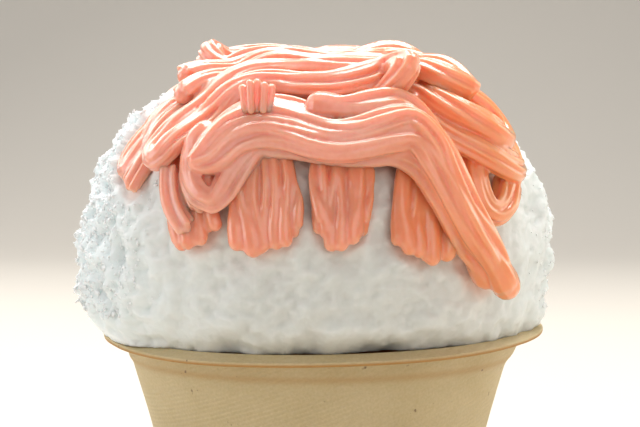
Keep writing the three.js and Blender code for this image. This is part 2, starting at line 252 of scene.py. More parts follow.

# %% [markdown]
# ## The cup
#
# The cup is pressed from wet fibre on a mesh mould: a flat outward rim, a small inward step
# below it where cups stop when they are stacked, and a straight taper down to a flat base.
# It could be a modelled cylinder with bevels, but a half-section turned round the axis says
# the same in one short list of corners. The rim is soft: it sits a little to one side of the
# base, hangs slightly lower at the left, and its flange droops at the front. Shade is painted
# in brown on the rim's cut edge and along the step, so each point also keeps how much painted
# shade it gets, as a number that the cup's material reads later.

# %% Cup surface
RIM_RADIUS, RIM_INNER = 59.0, 53.2
RIM_TOP, RIM_UNDER = 60.4, 59.2
RIM_SHIFT = 1.1  # to the right of the base
RIM_TILT = 1.0  # how much lower the left end lies than the middle
RIM_DROOP = 1.8  # how far the flange droops outwards at the front
RIM_SAGS = ((3, 0.25, 0.8), (5, 0.15, 2.0))  # waves in a turn, height and phase of each sag
SOFT_FROM, SOFT_TO = 50.0, 58.0  # heights between which the rim's softness fades in
DRYING_WAVES = ((16.0, 3, 0.22), (5.0, 4, 0.06))  # size, seed and height
DRYING_FADE = (1.0, 6.0)  # heights between which the waves fade in above the base
# painted shade: the rim's cut edge and a band along the step are coloured darker brown as shade
EDGE_RADII, EDGE_HEIGHTS = (58.2, 58.8), (59.6, 60.2)
STEP_HEIGHT, STEP_WIDTH, STEP_SHADE, STEP_RADII = 53.4, 1.1, 0.45, (49.5, 50.5)
CUP_AROUND, CUP_SPACING = 256, 1.6
ROUND_SHARES = np.linspace(0, 1, 7)[:, None]  # points of each rounded corner

CUP_SECTION = (  # radius, height and rounding of each corner, from the middle of the base
    (0.0, 0.0, 0.0),
    (35.5, 0.0, 2.5),
    (50.2, 52.0, 1.4),
    (51.7, 53.8, 0.9),
    (RIM_INNER, 58.0, 0.6),
    (54.2, RIM_UNDER, 0.5),
    (RIM_RADIUS, RIM_UNDER, 0.45),
    (RIM_RADIUS, RIM_TOP, 0.45),
    (53.8, RIM_TOP, 1.0),
    (52.1, 58.4, 0.6),
    (50.6, 54.2, 0.8),
    (49.1, 52.4, 1.0),
    (34.4, 1.6, 3.0),
    (0.0, 1.6, 0.0),
)


def rounded_section(corners, spacing):
    """Points along straight runs joined by round arcs.

    An arc is (1 - s)^2 * start + 2s(1 - s) * corner + s^2 * end, so it touches both runs.
    """
    path = []
    spots = np.array([corner[:2] for corner in corners])
    for index, (_, _, rounding) in enumerate(corners):
        spot = spots[index]
        if rounding == 0.0:
            path.append(spot[None])
            continue
        before = spots[index - 1] - spot
        after = spots[index + 1] - spot
        before /= np.linalg.norm(before)
        after /= np.linalg.norm(after)
        start, end = spot + before * rounding, spot + after * rounding
        near, far = 1 - ROUND_SHARES, ROUND_SHARES
        path.append(near**2 * start + 2 * far * near * spot + far**2 * end)
    path = np.concatenate(path)
    gaps = np.linalg.norm(np.diff(path, axis=0), axis=1)
    runs = [
        a + (b - a) * np.linspace(0, 1, max(1, int(gap / spacing)), endpoint=False)[:, None]
        for a, b, gap in zip(path[:-1], path[1:], gaps)
    ]
    return np.concatenate(runs + [path[-1:]])


def bend_with_rim(points):
    """Moves points with the soft rim: sideways and tilted, fading in below the rim's top."""
    amount = smooth_step(points[..., 2], SOFT_FROM, SOFT_TO)
    moved = points.copy()
    moved[..., 0] += RIM_SHIFT * amount
    moved[..., 2] += RIM_TILT * points[..., 0] / RIM_RADIUS * amount
    return moved


def cup_surface():
    """The half-section turned round the axis, with faint waves left by drying.

    Returns the points and each one's painted shade: 1 at the rim's cut edge, less at the step.
    """
    section = rounded_section(CUP_SECTION, CUP_SPACING)[1:-1]
    turn = np.linspace(0, 2 * np.pi, CUP_AROUND, endpoint=False)
    radius, height = section[:, :1], section[:, 1:]
    points = np.stack(
        [radius * np.sin(turn), -radius * np.cos(turn), height + 0 * turn], axis=-1
    )
    wave = sum(depth * lattice_noise(points, cell, seed) for cell, seed, depth in DRYING_WAVES)
    wave *= smooth_step(points[..., 2], *DRYING_FADE)
    outward = points * np.array([1, 1, 0]) / np.maximum(radius[..., None], 1e-6)
    points = points + outward * wave[..., None]
    sag = sum(depth * np.sin(lobes * turn + phase) for lobes, depth, phase in RIM_SAGS)
    sag = sag - RIM_DROOP * np.maximum(np.cos(turn), 0) ** 2
    flange = smooth_step(radius, RIM_INNER, RIM_RADIUS)
    points[..., 2] += sag * flange * smooth_step(height, SOFT_FROM, SOFT_TO)
    # painted shade: 1 on the rim's cut edge and less in a band along the step
    edge = smooth_step(radius, *EDGE_RADII) * (1 - smooth_step(height, *EDGE_HEIGHTS))
    step = STEP_SHADE * np.exp(-(((height - STEP_HEIGHT) / STEP_WIDTH) ** 2))
    step = step * smooth_step(radius, *STEP_RADII)
    return bend_with_rim(points), np.maximum(edge, step) + 0 * turn


cup_points, cup_painted_shade = cup_surface()
cup_rings = len(cup_points)
poles = np.array([[0.0, 0.0, 0.0]]), np.array([[0.0, 0.0, CUP_SECTION[-1][1]]])
# the attribute stored here holds the painted shade of the rim's edge and the step
cup = add_mesh(
    "cup_wall",
    np.concatenate([poles[0], cup_points.reshape(-1, 3), poles[1]]),
    *tube_faces(1, cup_rings, CUP_AROUND),
    {"painted_shade": np.pad(cup_painted_shade.ravel(), 1)},
)
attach(cup, "root")
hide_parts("cup")
print("cup rings:", cup_rings, "faces:", len(cup.data.polygons))

# %% [markdown]
# ## The ice
#
# Shaved ice is a mass of tiny thin shavings. Packed, they read as one white body with soft
# lumps and a grainy skin; at the left they lie looser and stand out, and at the front they
# are pressed smooth and a little wet. The body is one grid over the heap's form, displaced
# by the broad lumps and by noise. Where the ice is loose the noise is ridged, because sharp
# creases between round tops look like clumps; where it is packed the noise stays plain. The
# body ends just inside the rim's edge. Loose shavings are laid on top of it afterwards.

# %% Ice surface
ICE_AROUND, ICE_ROWS = 440, 210
ICE_LOWEST, ICE_HIGHEST = -22.0, 89.6  # degrees above the level
ICE_SUNK = 1.0  # how far the clumps' middle level lies below the heap's form
LOOSE_LEAST = 0.32
LOOSE_SIDES = ((-88, 42, 0.68), (95, 40, 0.35))  # azimuth, half-width and amount
LOOSE_BACK, BACK_FADE = 0.4, (110, 150)
ROUGH_FADE = (0.34, 0.75)  # looseness between which ridged noise takes over
CLUMPS = ((8.0, 2.2, 12), (4.2, 1.6, 13), (2.1, 0.9, 14), (1.1, 0.5, 16))  # size, height, seed
BROAD_CLUMPS, LOOSE_CLUMPS, GRAINS = (14.0, 1.3, 11), (15.0, 2.2, 18), (0.8, 0.25, 15)
PACKED_SHARE = 0.55  # height of packed clumps as a share of loose ones


def looseness(direction):
    """How loose the ice lies: 1 at the left, least at the front, in between elsewhere."""
    azimuth = np.degrees(azimuth_of(direction))
    total = LOOSE_LEAST
    for side, width, amount in LOOSE_SIDES:
        total = total + amount * np.exp(-(((azimuth - side) / width) ** 2))
    return np.clip(total + LOOSE_BACK * smooth_step(np.abs(azimuth), *BACK_FADE), 0, 1)


def ridged(noise):
    """Round tops with sharp creases between them: 1 - 2 * |noise|."""
    return 1 - 2 * np.abs(noise)


def clumps(points, loose):
    """Height of the clumps in millimetres, as noise of several sizes.

    It is ridged and grows with looseness where the ice is loose, and plain where packed.
    """
    cell, height, seed = BROAD_CLUMPS
    total = height * lattice_noise(points, cell, seed)
    cell, height, seed = LOOSE_CLUMPS
    total += height * loose**3 * ridged(lattice_noise(points, cell, seed))
    rough = smooth_step(loose, *ROUGH_FADE)
    for cell, height, seed in CLUMPS:
        noise = lattice_noise(points, cell, seed)
        ridges = ridged(noise) * (0.08 + 0.92 * loose)
        total += height * (rough * ridges + (1 - rough) * PACKED_SHARE * noise)
    cell, height, seed = GRAINS
    return total + lattice_noise(points, cell, seed) * height * loose


print("sizes of clumps:", [cell for cell, _, _ in CLUMPS])

# %% Ice body
ICE_FOOT = RIM_TOP - 0.35  # the lowest ice lies within the flange's thickness
FOOT_FADE = (RIM_TOP - 1, RIM_TOP + 7)  # heights between which the foot is drawn in
FOOT_INSET, SIDE_OVERHANG, FOOT_UNEVEN = 4.2, 4.4, 1.8
FOOT_CELL, FOOT_SEED = 9.0, 17
EDGE_GAP, EDGE_LEAN = 0.5, 0.9  # from the rim's edge, and how fast ice may lean out over it
ICE_INNER, ICE_UNDER, ICE_BOTTOM = 0.86, 0.3, 54.0  # how the body closes inside the cup


def ice_surface_point(direction):
    """The lumpy ice in a direction from the heap's centre, kept above the rim's top face.

    At the rim it ends short of the rim's edge, and may reach further out as it rises.
    """
    loose = looseness(direction)
    smooth = MOUND_CENTRE + direction * mound_radius(direction)[..., None]
    reach = mound_radius(direction) + lump_height(direction) + clumps(smooth, loose) - ICE_SUNK
    points = MOUND_CENTRE + direction * reach[..., None]
    outward = direction * np.array([1, 1, 0])
    outward /= np.maximum(np.linalg.norm(outward, axis=-1), 1e-6)[..., None]
    inset = FOOT_INSET - SIDE_OVERHANG * np.sin(azimuth_of(direction)) ** 2
    inset = inset + FOOT_UNEVEN * lattice_noise(points, FOOT_CELL, FOOT_SEED)
    low = 1 - smooth_step(points[..., 2], *FOOT_FADE)
    points = points - outward * (inset * low)[..., None]
    rim_height = ICE_FOOT + RIM_TILT * points[..., 0] / RIM_RADIUS
    points[..., 2] = np.maximum(points[..., 2], rim_height)
    sideways = points[..., :2] - np.array([RIM_SHIFT, 0.0])
    limit = RIM_RADIUS - EDGE_GAP + EDGE_LEAN * (points[..., 2] - rim_height)
    share = np.minimum(1, limit / np.linalg.norm(sideways, axis=-1))
    points[..., :2] -= sideways * (1 - share)[..., None]
    return points


def ice_body():
    """A grid of azimuth and elevation over the heap, closed by a point inside the cup."""
    azimuth = np.linspace(0, 2 * np.pi, ICE_AROUND, endpoint=False)
    rise = np.radians(np.linspace(ICE_LOWEST, ICE_HIGHEST, ICE_ROWS))[:, None]
    points = ice_surface_point(direction_at(azimuth, rise))
    inner = points[:1] * np.array([ICE_INNER, ICE_INNER, 1]) - np.array([0, 0, ICE_UNDER])
    return np.concatenate([inner, points])


ice_points = ice_body()
ice_bottom = np.array([[0.0, 0.0, ICE_BOTTOM]])
ice_top = ice_points[-1].mean(0)[None]
ice = add_mesh(
    "ice_body",
    np.concatenate([ice_bottom, ice_points.reshape(-1, 3), ice_top]),
    *tube_faces(1, ICE_ROWS + 1, ICE_AROUND),
)
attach(ice, "root")
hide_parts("ice")
print("ice body faces:", len(ice.data.polygons), "top at", ice_top.round(1))

# %% [markdown]
# ## The cream: laying ropes
#
# The nozzle has a dozen small holes, so cream leaves it as a rope of soft strands that stay
# side by side. A rope lies on whatever is below it, the ice or earlier ropes, sinks in a
# little, and is too stiff to follow every bump. A physics simulation of strands could do
# this, but a height map is enough: a flat map of the heap stores how high the cream already
# stands, each rope reads it under its path, eases what it read, and then adds its own arch.

# %% Height map
MAP_STEP = 0.6  # degrees
MAP_REACH = 102.0  # degrees from the top
MAP_WINDOW = 16  # cells on each side of a station that a rope may touch
STATION_STEP = 0.75
SPLINE_STEPS = 60
ROUTE_HEIGHT = 6.0  # height above the heap at which a route's length is measured
CORE_SHARE = 0.6  # middle share of a rope's width that rests on what lies below
DEEPEST = -0.6  # how far a rope may sink into the smooth heap

map_axis = np.arange(-MAP_REACH, MAP_REACH + MAP_STEP / 2, MAP_STEP)
map_right, map_front = np.meshgrid(map_axis, map_axis, indexing="ij")
map_ground = mound_point(map_right, map_front, np.zeros(map_right.shape))
cream_height = np.zeros(map_right.shape)
window = np.arange(-MAP_WINDOW, MAP_WINDOW + 1)
print("height map cells:", cream_height.size)


def map_cell(degrees):
    """Nearest index on either axis of the height map."""
    return np.rint((degrees + MAP_REACH) / MAP_STEP).astype(int)


def smooth_along(values, reach):
    """Bell-weighted moving average along the first axis, reach in stations, ends held."""
    span = max(1, int(3 * reach))
    weights = np.exp(-0.5 * (np.arange(-span, span + 1) / reach) ** 2)
    weights /= weights.sum()
    flat = values.reshape(len(values), -1)
    padded = np.pad(flat, ((span, span), (0, 0)), mode="edge")
    columns = [np.convolve(column, weights, mode="valid") for column in padded.T]
    return np.stack(columns, 1).reshape(values.shape)


def spline(points, steps):
    """Catmull-Rom curve: a cubic between each two points that leaves along its neighbours."""
    points = np.asarray(points, float)
    ends = 2 * points[:1] - points[1:2], 2 * points[-1:] - points[-2:-1]
    padded = np.concatenate([ends[0], points, ends[1]])
    share = np.linspace(0, 1, steps, endpoint=False)[:, None, None]
    a, b, c, d = padded[:-3], padded[1:-2], padded[2:-1], padded[3:]
    curve = 0.5 * (
        2 * b
        + (c - a) * share
        + (2 * a - 5 * b + 4 * c - d) * share**2
        + (3 * b - a - 3 * c + d) * share**3
    )
    curve = curve.transpose(1, 0, 2).reshape(-1, points.shape[1])
    return np.concatenate([curve, points[-1:]])


def even_stations(route):
    """Stations an even distance apart along a route of map points, with its other columns."""
    dense = spline(route, SPLINE_STEPS)
    ground = mound_point(dense[:, 0], dense[:, 1], ROUTE_HEIGHT + 0 * dense[:, 0])
    gaps = np.linalg.norm(np.diff(ground, axis=0), axis=1)
    distance = np.concatenate([[0], np.cumsum(gaps)])
    places = np.linspace(0, distance[-1], max(8, int(distance[-1] / STATION_STEP)))
    return np.stack([np.interp(places, distance, column) for column in dense.T], 1)


def lay_rope(stations, width, thickness, sink, stiffness, hold=1):
    """Centre line of a rope laid on the height map, which then gains the rope's arch.

    The arch is thickness / 2 * sqrt(1 - (distance / half-width)^2) above the centre line.
    The last stations, hold in number, leave no arch of their own.
    """
    right, front, raised = stations.T
    centre = mound_point(right, front, 0 * right)
    columns = np.clip(map_cell(right)[:, None, None] + window[:, None], 0, len(map_axis) - 1)
    rows = np.clip(map_cell(front)[:, None, None] + window, 0, len(map_axis) - 1)
    columns, rows = np.broadcast_arrays(columns, rows)
    away = np.linalg.norm(map_ground[columns, rows] - centre[:, None, None], axis=-1)
    away = away / (width / 2)
    under = np.where(away < CORE_SHARE, cream_height[columns, rows], 0).max(axis=(1, 2))
    rest = smooth_along(under, stiffness)
    middle = np.maximum(rest - sink, DEEPEST) + thickness / 2 + raised
    crown = middle[:, None, None] + thickness / 2 * np.sqrt(np.clip(1 - away**2, 0, 1))
    inside = away < 1
    inside[-hold:] = False
    np.maximum.at(cream_height, (columns[inside], rows[inside]), crown[inside])
    return mound_point(right, front, middle)


# %% [markdown]
# ## The cream: strands of a rope
#
# Across a rope the strands sit on an arch, touching each other, with a plain filling tube
# under them so that no light leaks through. Each strand wanders a little along the arch and
# in and out, and they draw together where the rope turns back on itself, because the side
# direction is averaged along the path. Strand ends are round and uneven in length. A tapered
# rope narrows at both ends, and its filling swells there into one round tip.

# %% Round tubes
STRAND_SIDES = 10
END_TURNS = np.radians([75.0, 45.0, 15.0])


def unit(vectors):
    """Vectors divided by their lengths."""
    return vectors / np.maximum(np.linalg.norm(vectors, axis=-1), 1e-9)[..., None]


def round_tubes(lines, radii, up):
    """Rings round many lines of equal length, with a half-sphere of rings at both ends.

    A ring point is line + radius * (cos * side + sin * other), where side is square to both
    the line's direction and up.
    """
    along = unit(np.gradient(lines, axis=1))
    first = lines[:, :1] - along[:, :1] * (radii[:, :1] * np.sin(END_TURNS))[..., None]
    last_turns = END_TURNS[::-1]
    last = lines[:, -1:] + along[:, -1:] * (radii[:, -1:] * np.sin(last_turns))[..., None]
    first_radii = radii[:, :1] * np.cos(END_TURNS)
    last_radii = radii[:, -1:] * np.cos(last_turns)
    poles = (
        lines[:, 0] - along[:, 0] * radii[:, :1],
        lines[:, -1] + along[:, -1] * radii[:, -1:],
    )
    count = len(END_TURNS)
    middles = np.concatenate([first, lines, last], axis=1)
    spread = np.concatenate([first_radii, radii, last_radii], axis=1)
    added = ((0, 0), (count, count), (0, 0))
    along = np.pad(along, added, mode="edge")
    up = np.pad(np.broadcast_to(up, lines.shape), added, mode="edge")
    side = unit(np.cross(along, up))
    other = np.cross(side, along)
    turn = np.arange(STRAND_SIDES) * 2 * np.pi / STRAND_SIDES
    rings = (
        middles[:, :, None]
        + spread[:, :, None, None] * np.cos(turn)[:, None] * side[:, :, None]
        - spread[:, :, None, None] * np.sin(turn)[:, None] * other[:, :, None]
    )
    flat = rings.reshape(len(lines), -1, 3)
    points = np.concatenate([poles[0][:, None], flat, poles[1][:, None]], axis=1)
    return points, rings.shape[1]


print("sides of a strand:", STRAND_SIDES)

# %% Strands
STRAND = 1.6
STRAND_SPREAD = 0.22  # how uneven the strands' thickness is, as a share
ARCH_FROM, ARCH_SWEEP, ARCH_UNEVEN = -22, 224, 7  # degrees round a rope that strands cover
WANDER = ((11.0, 0.16, 0), (4.7, 0.08, 1))  # length, amount and column of phase of each wave
SWELL = ((7.0, 0.09, 2),)
RIPPLE = ((2.7, 0.05, 1), (6.3, 0.04, 0))
END_LENGTH, END_ROUNDING = 4.0, 0.8  # how far in an end is moved, and its roundness
TAPER_LENGTH, TAPER_ROUNDING = 16.0, 8
SIDE_REACH = 3.0  # stations over which a rope's side direction is averaged
TIP_LENGTH, TIP_SWELL = 9.0, 0.42  # where a tapered rope's filling swells into a round tip


def waves(start, places, phase, parts):
    """A start value plus amount * sin(place / length + phase) for each of the parts."""
    columns = np.split(phase, phase.shape[1], axis=1)
    return sum(
        (amount * np.sin(places / length + columns[column]) for length, amount, column in parts),
        start,
    )


def strand_lines(centre, width, thickness, strands, seed, taper):
    """Centre lines and radii of a rope's strands, spread evenly over its arch.

    The arch narrows by the taper's share towards both ends of the rope.
    """
    rng = np.random.default_rng(seed)
    count = len(centre)
    along = unit(np.gradient(centre, axis=0))
    out = unit(centre - MOUND_CENTRE)
    side = smooth_along(unit(np.cross(out, along)), SIDE_REACH)
    up = unit(np.cross(unit(side), along))
    up *= np.sign((up * out).sum(-1))[:, None]
    share = np.linspace(0, 1, strands)[:, None]
    places = np.arange(count) * STATION_STEP
    phase = rng.uniform(0, 2 * np.pi, (strands, 3))
    uneven = rng.uniform(-ARCH_UNEVEN, ARCH_UNEVEN, (strands, 1))
    angle = np.radians(ARCH_FROM + ARCH_SWEEP * share + uneven) + waves(0, places, phase, WANDER)
    swell = waves(1, places, phase, SWELL)
    half_width = (width - STRAND) / 2
    half_height = (thickness - STRAND) / 2
    to_end = np.minimum(places, places[-1] - places)
    narrow = 1 - taper * (1 - smooth_step(to_end, 0, TAPER_LENGTH))
    across = half_width * np.cos(angle) * swell * narrow
    lift = half_height * np.sin(angle) * swell * narrow
    lines = centre + across[..., None] * side + lift[..., None] * up
    ends = rng.uniform(-1.0, 1.0, (2, strands, 1)) * (taper == 0)
    ends -= (END_ROUNDING + TAPER_ROUNDING * taper) * np.cos(np.radians(180 * share)) ** 2
    first = ends[0] * np.exp(-((places / END_LENGTH) ** 2))
    last = ends[1] * np.exp(-(((places[-1] - places) / END_LENGTH) ** 2))
    lines = lines - first[..., None] * along + last[..., None] * along
    girth = rng.lognormal(0.0, STRAND_SPREAD, (strands, 1))
    return lines, STRAND / 2 * waves(1, places, phase, RIPPLE) * girth, up


def rope_surface(route, width, thickness, sink, strands, seed, taper=0.0, stiffness=6.0):
    """Lays a rope along a route; returns the points and faces of its strands and filling."""
    centre = lay_rope(even_stations(route), width, thickness, sink, stiffness)
    lines, radii, up = strand_lines(centre, width, thickness, strands, seed, taper)
    points, rings = round_tubes(lines, radii, up)
    filling = np.full((1, len(centre)), (thickness - STRAND) / 2)
    to_end = np.minimum(np.arange(len(centre)), np.arange(len(centre))[::-1]) * STATION_STEP
    filling *= 1 + (taper > 0) * TIP_SWELL * smooth_step(-to_end, -TIP_LENGTH, -1.0)
    filling_points, _ = round_tubes(centre[None], filling, up)
    points = np.concatenate([points, filling_points])
    return points.reshape(-1, 3), *tube_faces(len(points), rings, STRAND_SIDES)


print("strand thickness:", STRAND)

# %% [markdown]
# ## The cream: fused strands
#
# Soft cream strands that touch melt together a little, so the grooves between them are
# shallow and closed. Tubes that only overlap would show hard dark creases instead. A voxel
# remesh rebuilds a group of ropes as one closed skin over everything they fill, and a few
# rounds of smoothing soften it. The skin is made once, here, and the tubes are removed.

# %% Fusing
VOXEL, VOXEL_BACK, VOXEL_SMALL = 0.36, 0.5, 0.2  # finest where strands are smallest
SOFTENING, SOFTENING_SMALL, TONGUE_SOFTENING = 4, 1, 8  # rounds of smoothing
cream_pieces = []


def fused_piece(name, surfaces, voxel=VOXEL, softening=SOFTENING):
    """One closed skin over many surfaces, each given as points, quads and triangles."""
    starts = np.cumsum([0] + [len(points) for points, _, _ in surfaces])
    raw = add_mesh(
        name + "_tubes",
        np.concatenate([points for points, _, _ in surfaces]),
        np.concatenate([quads + start for start, (_, quads, _) in zip(starts, surfaces)]),
        np.concatenate([fans + start for start, (_, _, fans) in zip(starts, surfaces)]),
    )
    fuse = raw.modifiers.new("fuse", "REMESH")
    fuse.mode = "VOXEL"
    fuse.voxel_size = voxel * MM
    fuse.use_smooth_shade = True
    soften = raw.modifiers.new("soften", "SMOOTH")
    soften.factor = 0.5
    soften.iterations = softening
    depsgraph = bpy.context.evaluated_depsgraph_get()
    mesh = bpy.data.meshes.new_from_object(raw.evaluated_get(depsgraph))
    bpy.data.objects.remove(raw)
    mesh.name = name
    piece = link_object(name, mesh)
    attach(piece, "root")
    cream_pieces.append(piece)
    print(name, "triangles:", 2 * len(mesh.polygons))
    return piece


print("voxel sizes:", VOXEL, VOXEL_BACK, VOXEL_SMALL)

# %% [markdown]
# ## The cream: first pass
#
# First the nozzle went to and fro between front and back and covered the top with an even
# bed, each time letting the strands hang down the heap's side before it turned. The bed
# reaches further at the right and is nearly hidden under later rows, so a plain shallow dome
# stands for it and the height map knows its height.

# %% Bed
BED_REACH, BED_SHIFT, BED_SWAY = 36.0, 8.0, 3.0
BED_HEIGHT, BED_UNDER = 3.6, -3.0  # above and below the smooth heap
BED_AROUND, BED_RINGS = 96, 24
BED_MARGIN = 4  # degrees at the edge where the dome is too thin to carry a row


def bed_edge(turn):
    """Reach of the bed in degrees, further to the right; turn 0 is the front."""
    return BED_REACH + BED_SHIFT * np.sin(turn) + BED_SWAY * np.sin(3 * turn + 1)


def bed_surface():
    """A shallow dome over the top of the heap: height * (1 - share^4) above the ice."""
    turn = np.linspace(0, 2 * np.pi, BED_AROUND, endpoint=False)
    edge = bed_edge(turn)
    share = [np.linspace(0.05, 1, BED_RINGS), np.linspace(0.95, 0.05, BED_RINGS)]
    share = np.concatenate(share)[:, None]
    dome = BED_HEIGHT * (1 - share[:BED_RINGS] ** 4)
    height = np.concatenate([dome, np.full((BED_RINGS, 1), BED_UNDER)])
    right, front = share * edge * np.sin(turn), share * edge * np.cos(turn)
    rings = mound_point(right, front, height + 0 * turn)
    poles = mound_point(np.zeros(2), np.zeros(2), np.array([BED_HEIGHT, BED_UNDER]))
    points = np.concatenate([poles[:1], rings.reshape(-1, 3), poles[1:]])
    quads, fans = tube_faces(1, len(rings), BED_AROUND)
    return points, quads[:, ::-1], fans[:, ::-1]


carrying_edge = bed_edge(np.arctan2(map_right, map_front)) - BED_MARGIN
cream_height[np.hypot(map_right, map_front) < carrying_edge] = BED_HEIGHT
bed_piece = add_mesh("cream_bed", *bed_surface())
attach(bed_piece, "root")
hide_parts("cream")
cream_pieces.append(bed_piece)
print("bed faces:", len(bed_piece.data.polygons))

# %% [markdown]
# ## The cream: hanging tongues
#
# What shows of the first pass is its hanging part: wide flat bundles of strands, with ice
# between them. The middle ones hang lowest, because there the nozzle travelled furthest.
# Soft cream collects at the end of a strand, so each strand swells towards its end, and the
# swollen ends run together. A bundle is laid like a rope, but its strands are spread flat
# across it, and a layer of tubes behind them closes the gaps.

# %% Tongues
TONGUES = (  # middle, lowest point in degrees, and width of each tongue
    (-40.0, 73.0, 12.5),
    (-17.0, 82.0, 18.0),
    (6.5, 82.0, 14.5),
    (34.0, 79.0, 18.0),
)
TONGUE_LENGTH, TONGUE_LEAN, LEAN_FADE = 46.0, 7.0, (10.0, 40.0)
BACK_SHARE = 0.86  # how low the back's tongues hang, as a share of the front's
TONGUE_THICKNESS, TONGUE_SINK, TONGUE_STIFFNESS, TONGUE_SPACING = 4.6, 0.8, 4.0, 1.5
TONGUE_SWAY = ((9.0, 0.9, 0), (4.0, 0.3, 1))
NARROW_TOP, SPREAD_FADE = 0.74, (-34.0, -14.0)  # share of the width at the top, and its fade
NARROW_END, GATHER_FADE = 0.14, (-9.0, 0.0)
ARCHED, FLATTENED = 1.2, 0.35  # height of the bundle's arch: sqrt(1.2 - across^2) - 0.35
END_CURVE, END_UNEVEN, END_WAVE, END_TURN = 0.3, 0.3, 1.1, 3.1
PLACE_UNEVEN, GIRTH = 0.04, 0.12  # in a strand's place across, and the log of its thickness
HOLD_MARGIN = 1.5  # how far past the last counted station a tongue's arch may reach
PULL_LENGTH = 24.0  # over how much of its length a strand is shortened
LIFT_LENGTH, LIFT_AMOUNT = 8.0, 0.35  # slow wave of each strand in and out
BLOB_FADE, BLOB_SWELL = (-10.0, -2.0), 0.9
FILL_RADIUS, FILL_SHORT, FILL_SUNK = 1.5, 4, 0.6


def tongue(middle, low, sense):
    """Straight down the heap's side to its lowest point, leaning outwards at the right."""
    lean = TONGUE_LEAN * smooth_step(middle, *LEAN_FADE)
    rise = TONGUE_LENGTH * np.array([1.0, 0.66, 0.33, 0.0])
    reach = low if sense > 0 else BACK_SHARE * low
    across = middle - lean * rise / TONGUE_LENGTH
    return np.stack([across, sense * (reach - rise), 0 * rise], 1)


def tongue_surface(middle, low, width, sense, seed):
    """A wide bundle of strands that hang side by side and run together in a swollen end.

    Strands are shorter by a share of the width * across^3, so the end is round; each end
    is uneven too, and over the last stretch the radius grows by the swell.
    """
    rng = np.random.default_rng(seed)
    stations = even_stations(tongue(middle, low, sense))
    hold = int((width / 2 - HOLD_MARGIN) / STATION_STEP)
    centre = lay_rope(stations, width, TONGUE_THICKNESS, TONGUE_SINK, TONGUE_STIFFNESS, hold)
    along = unit(np.gradient(centre, axis=0))
    out = unit(centre - MOUND_CENTRE)
    side = unit(np.cross(out, along))
    strands = int(width / TONGUE_SPACING)
    across = np.linspace(-1, 1, strands)[:, None]
    across = across + rng.uniform(-PLACE_UNEVEN, PLACE_UNEVEN, (strands, 1))
    places = np.arange(len(centre)) * STATION_STEP
    to_end = places[-1] - places
    phase = rng.uniform(0, 2 * np.pi, (strands, 2))
    spread = NARROW_TOP + (1 - NARROW_TOP) * smooth_step(-to_end, *SPREAD_FADE)
    spread = spread - NARROW_END * smooth_step(-to_end, *GATHER_FADE)
    shift = across * (width - STRAND) / 2 * spread + waves(0, places, phase, TONGUE_SWAY)
    bow = np.sqrt(np.clip(ARCHED - across**2, 0, 1)) - FLATTENED
    lift = (TONGUE_THICKNESS - STRAND) / 2 * bow
    lift = lift + LIFT_AMOUNT * np.sin(places / LIFT_LENGTH + 2 * phase[:, 1:])
    lines = centre + shift[..., None] * side + (lift + 0 * shift)[..., None] * out
    short = END_CURVE * width * np.abs(across) ** 3
    short = short + rng.uniform(-END_UNEVEN, END_UNEVEN, (strands, 1))
    short = short + END_WAVE * np.sin(END_TURN * across + 2 * np.pi * rng.random())
    pull = smooth_step(-to_end, -PULL_LENGTH, 0.0)
    lines = lines - (short * pull)[..., None] * along
    blob = BLOB_SWELL * smooth_step(-to_end, *BLOB_FADE)
    radii = STRAND / 2 * rng.lognormal(GIRTH, STRAND_SPREAD, (strands, 1)) * (1 + blob)
    points, rings = round_tubes(lines, radii, out)
    under = centre + (across * (width / 2 - STRAND) * spread)[..., None] * side
    under = (under - FILL_SUNK * out)[:, :-FILL_SHORT]
    fill_radii = np.full(under.shape[:2], FILL_RADIUS)
    fill_points, fill_rings = round_tubes(under, fill_radii, out[:-FILL_SHORT])
    quads, fans = tube_faces(strands, rings, STRAND_SIDES)
    fill_quads, fill_fans = tube_faces(strands, fill_rings, STRAND_SIDES)
    start = points.reshape(-1, 3).shape[0]
    return (
        np.concatenate([points.reshape(-1, 3), fill_points.reshape(-1, 3)]),
        np.concatenate([quads, fill_quads + start]),
        np.concatenate([fans, fill_fans + start]),
    )


def lay_tongues(name, sense, voxel):
    """All tongues on one side of the heap, front (1) or back (-1), as one skin."""
    surfaces = [
        tongue_surface(middle, low, width, sense, 100 + index)
        for index, (middle, low, width) in enumerate(TONGUES)
    ]
    return fused_piece(name, surfaces, voxel, TONGUE_SOFTENING)


tongue_pieces = [
    lay_tongues("cream_tongues_front", 1, VOXEL),
    lay_tongues("cream_tongues_back", -1, VOXEL_BACK),
]

# %% [markdown]
# ## The cream: second pass
#
# Then the nozzle went from side to side. A row rises over the hanging tongues and sags
# between them, which is a cosine of the place across. Rows of one stroke are joined by turns
# beyond their ends. Every row therefore needs only its level and its two ends, and the
# height map stacks them in the order in which they were piped.

# %% Paths of rows
CREST, DRAPE_PERIOD, DRAPE = -16.0, 41.0, 6.0  # first rise, spacing of rises, depth of sags
TAIL_FRONT, TAIL_FROM, TAIL_TO = 68.0, 24.0, 49.0
LEFT_FALL_FROM, LEFT_FALL_TO, LEFT_FALL = 22.0, 60.0, 16.0
RIGHT_FALL_FROM, RIGHT_FALL_TO, RIGHT_FALL = 16.0, 46.0, 16.0
POINT_SPACING = 6.0
TURN_POINTS = 7
LIFT_SHARE = 0.4  # share of a turn's lift that the row after it starts with


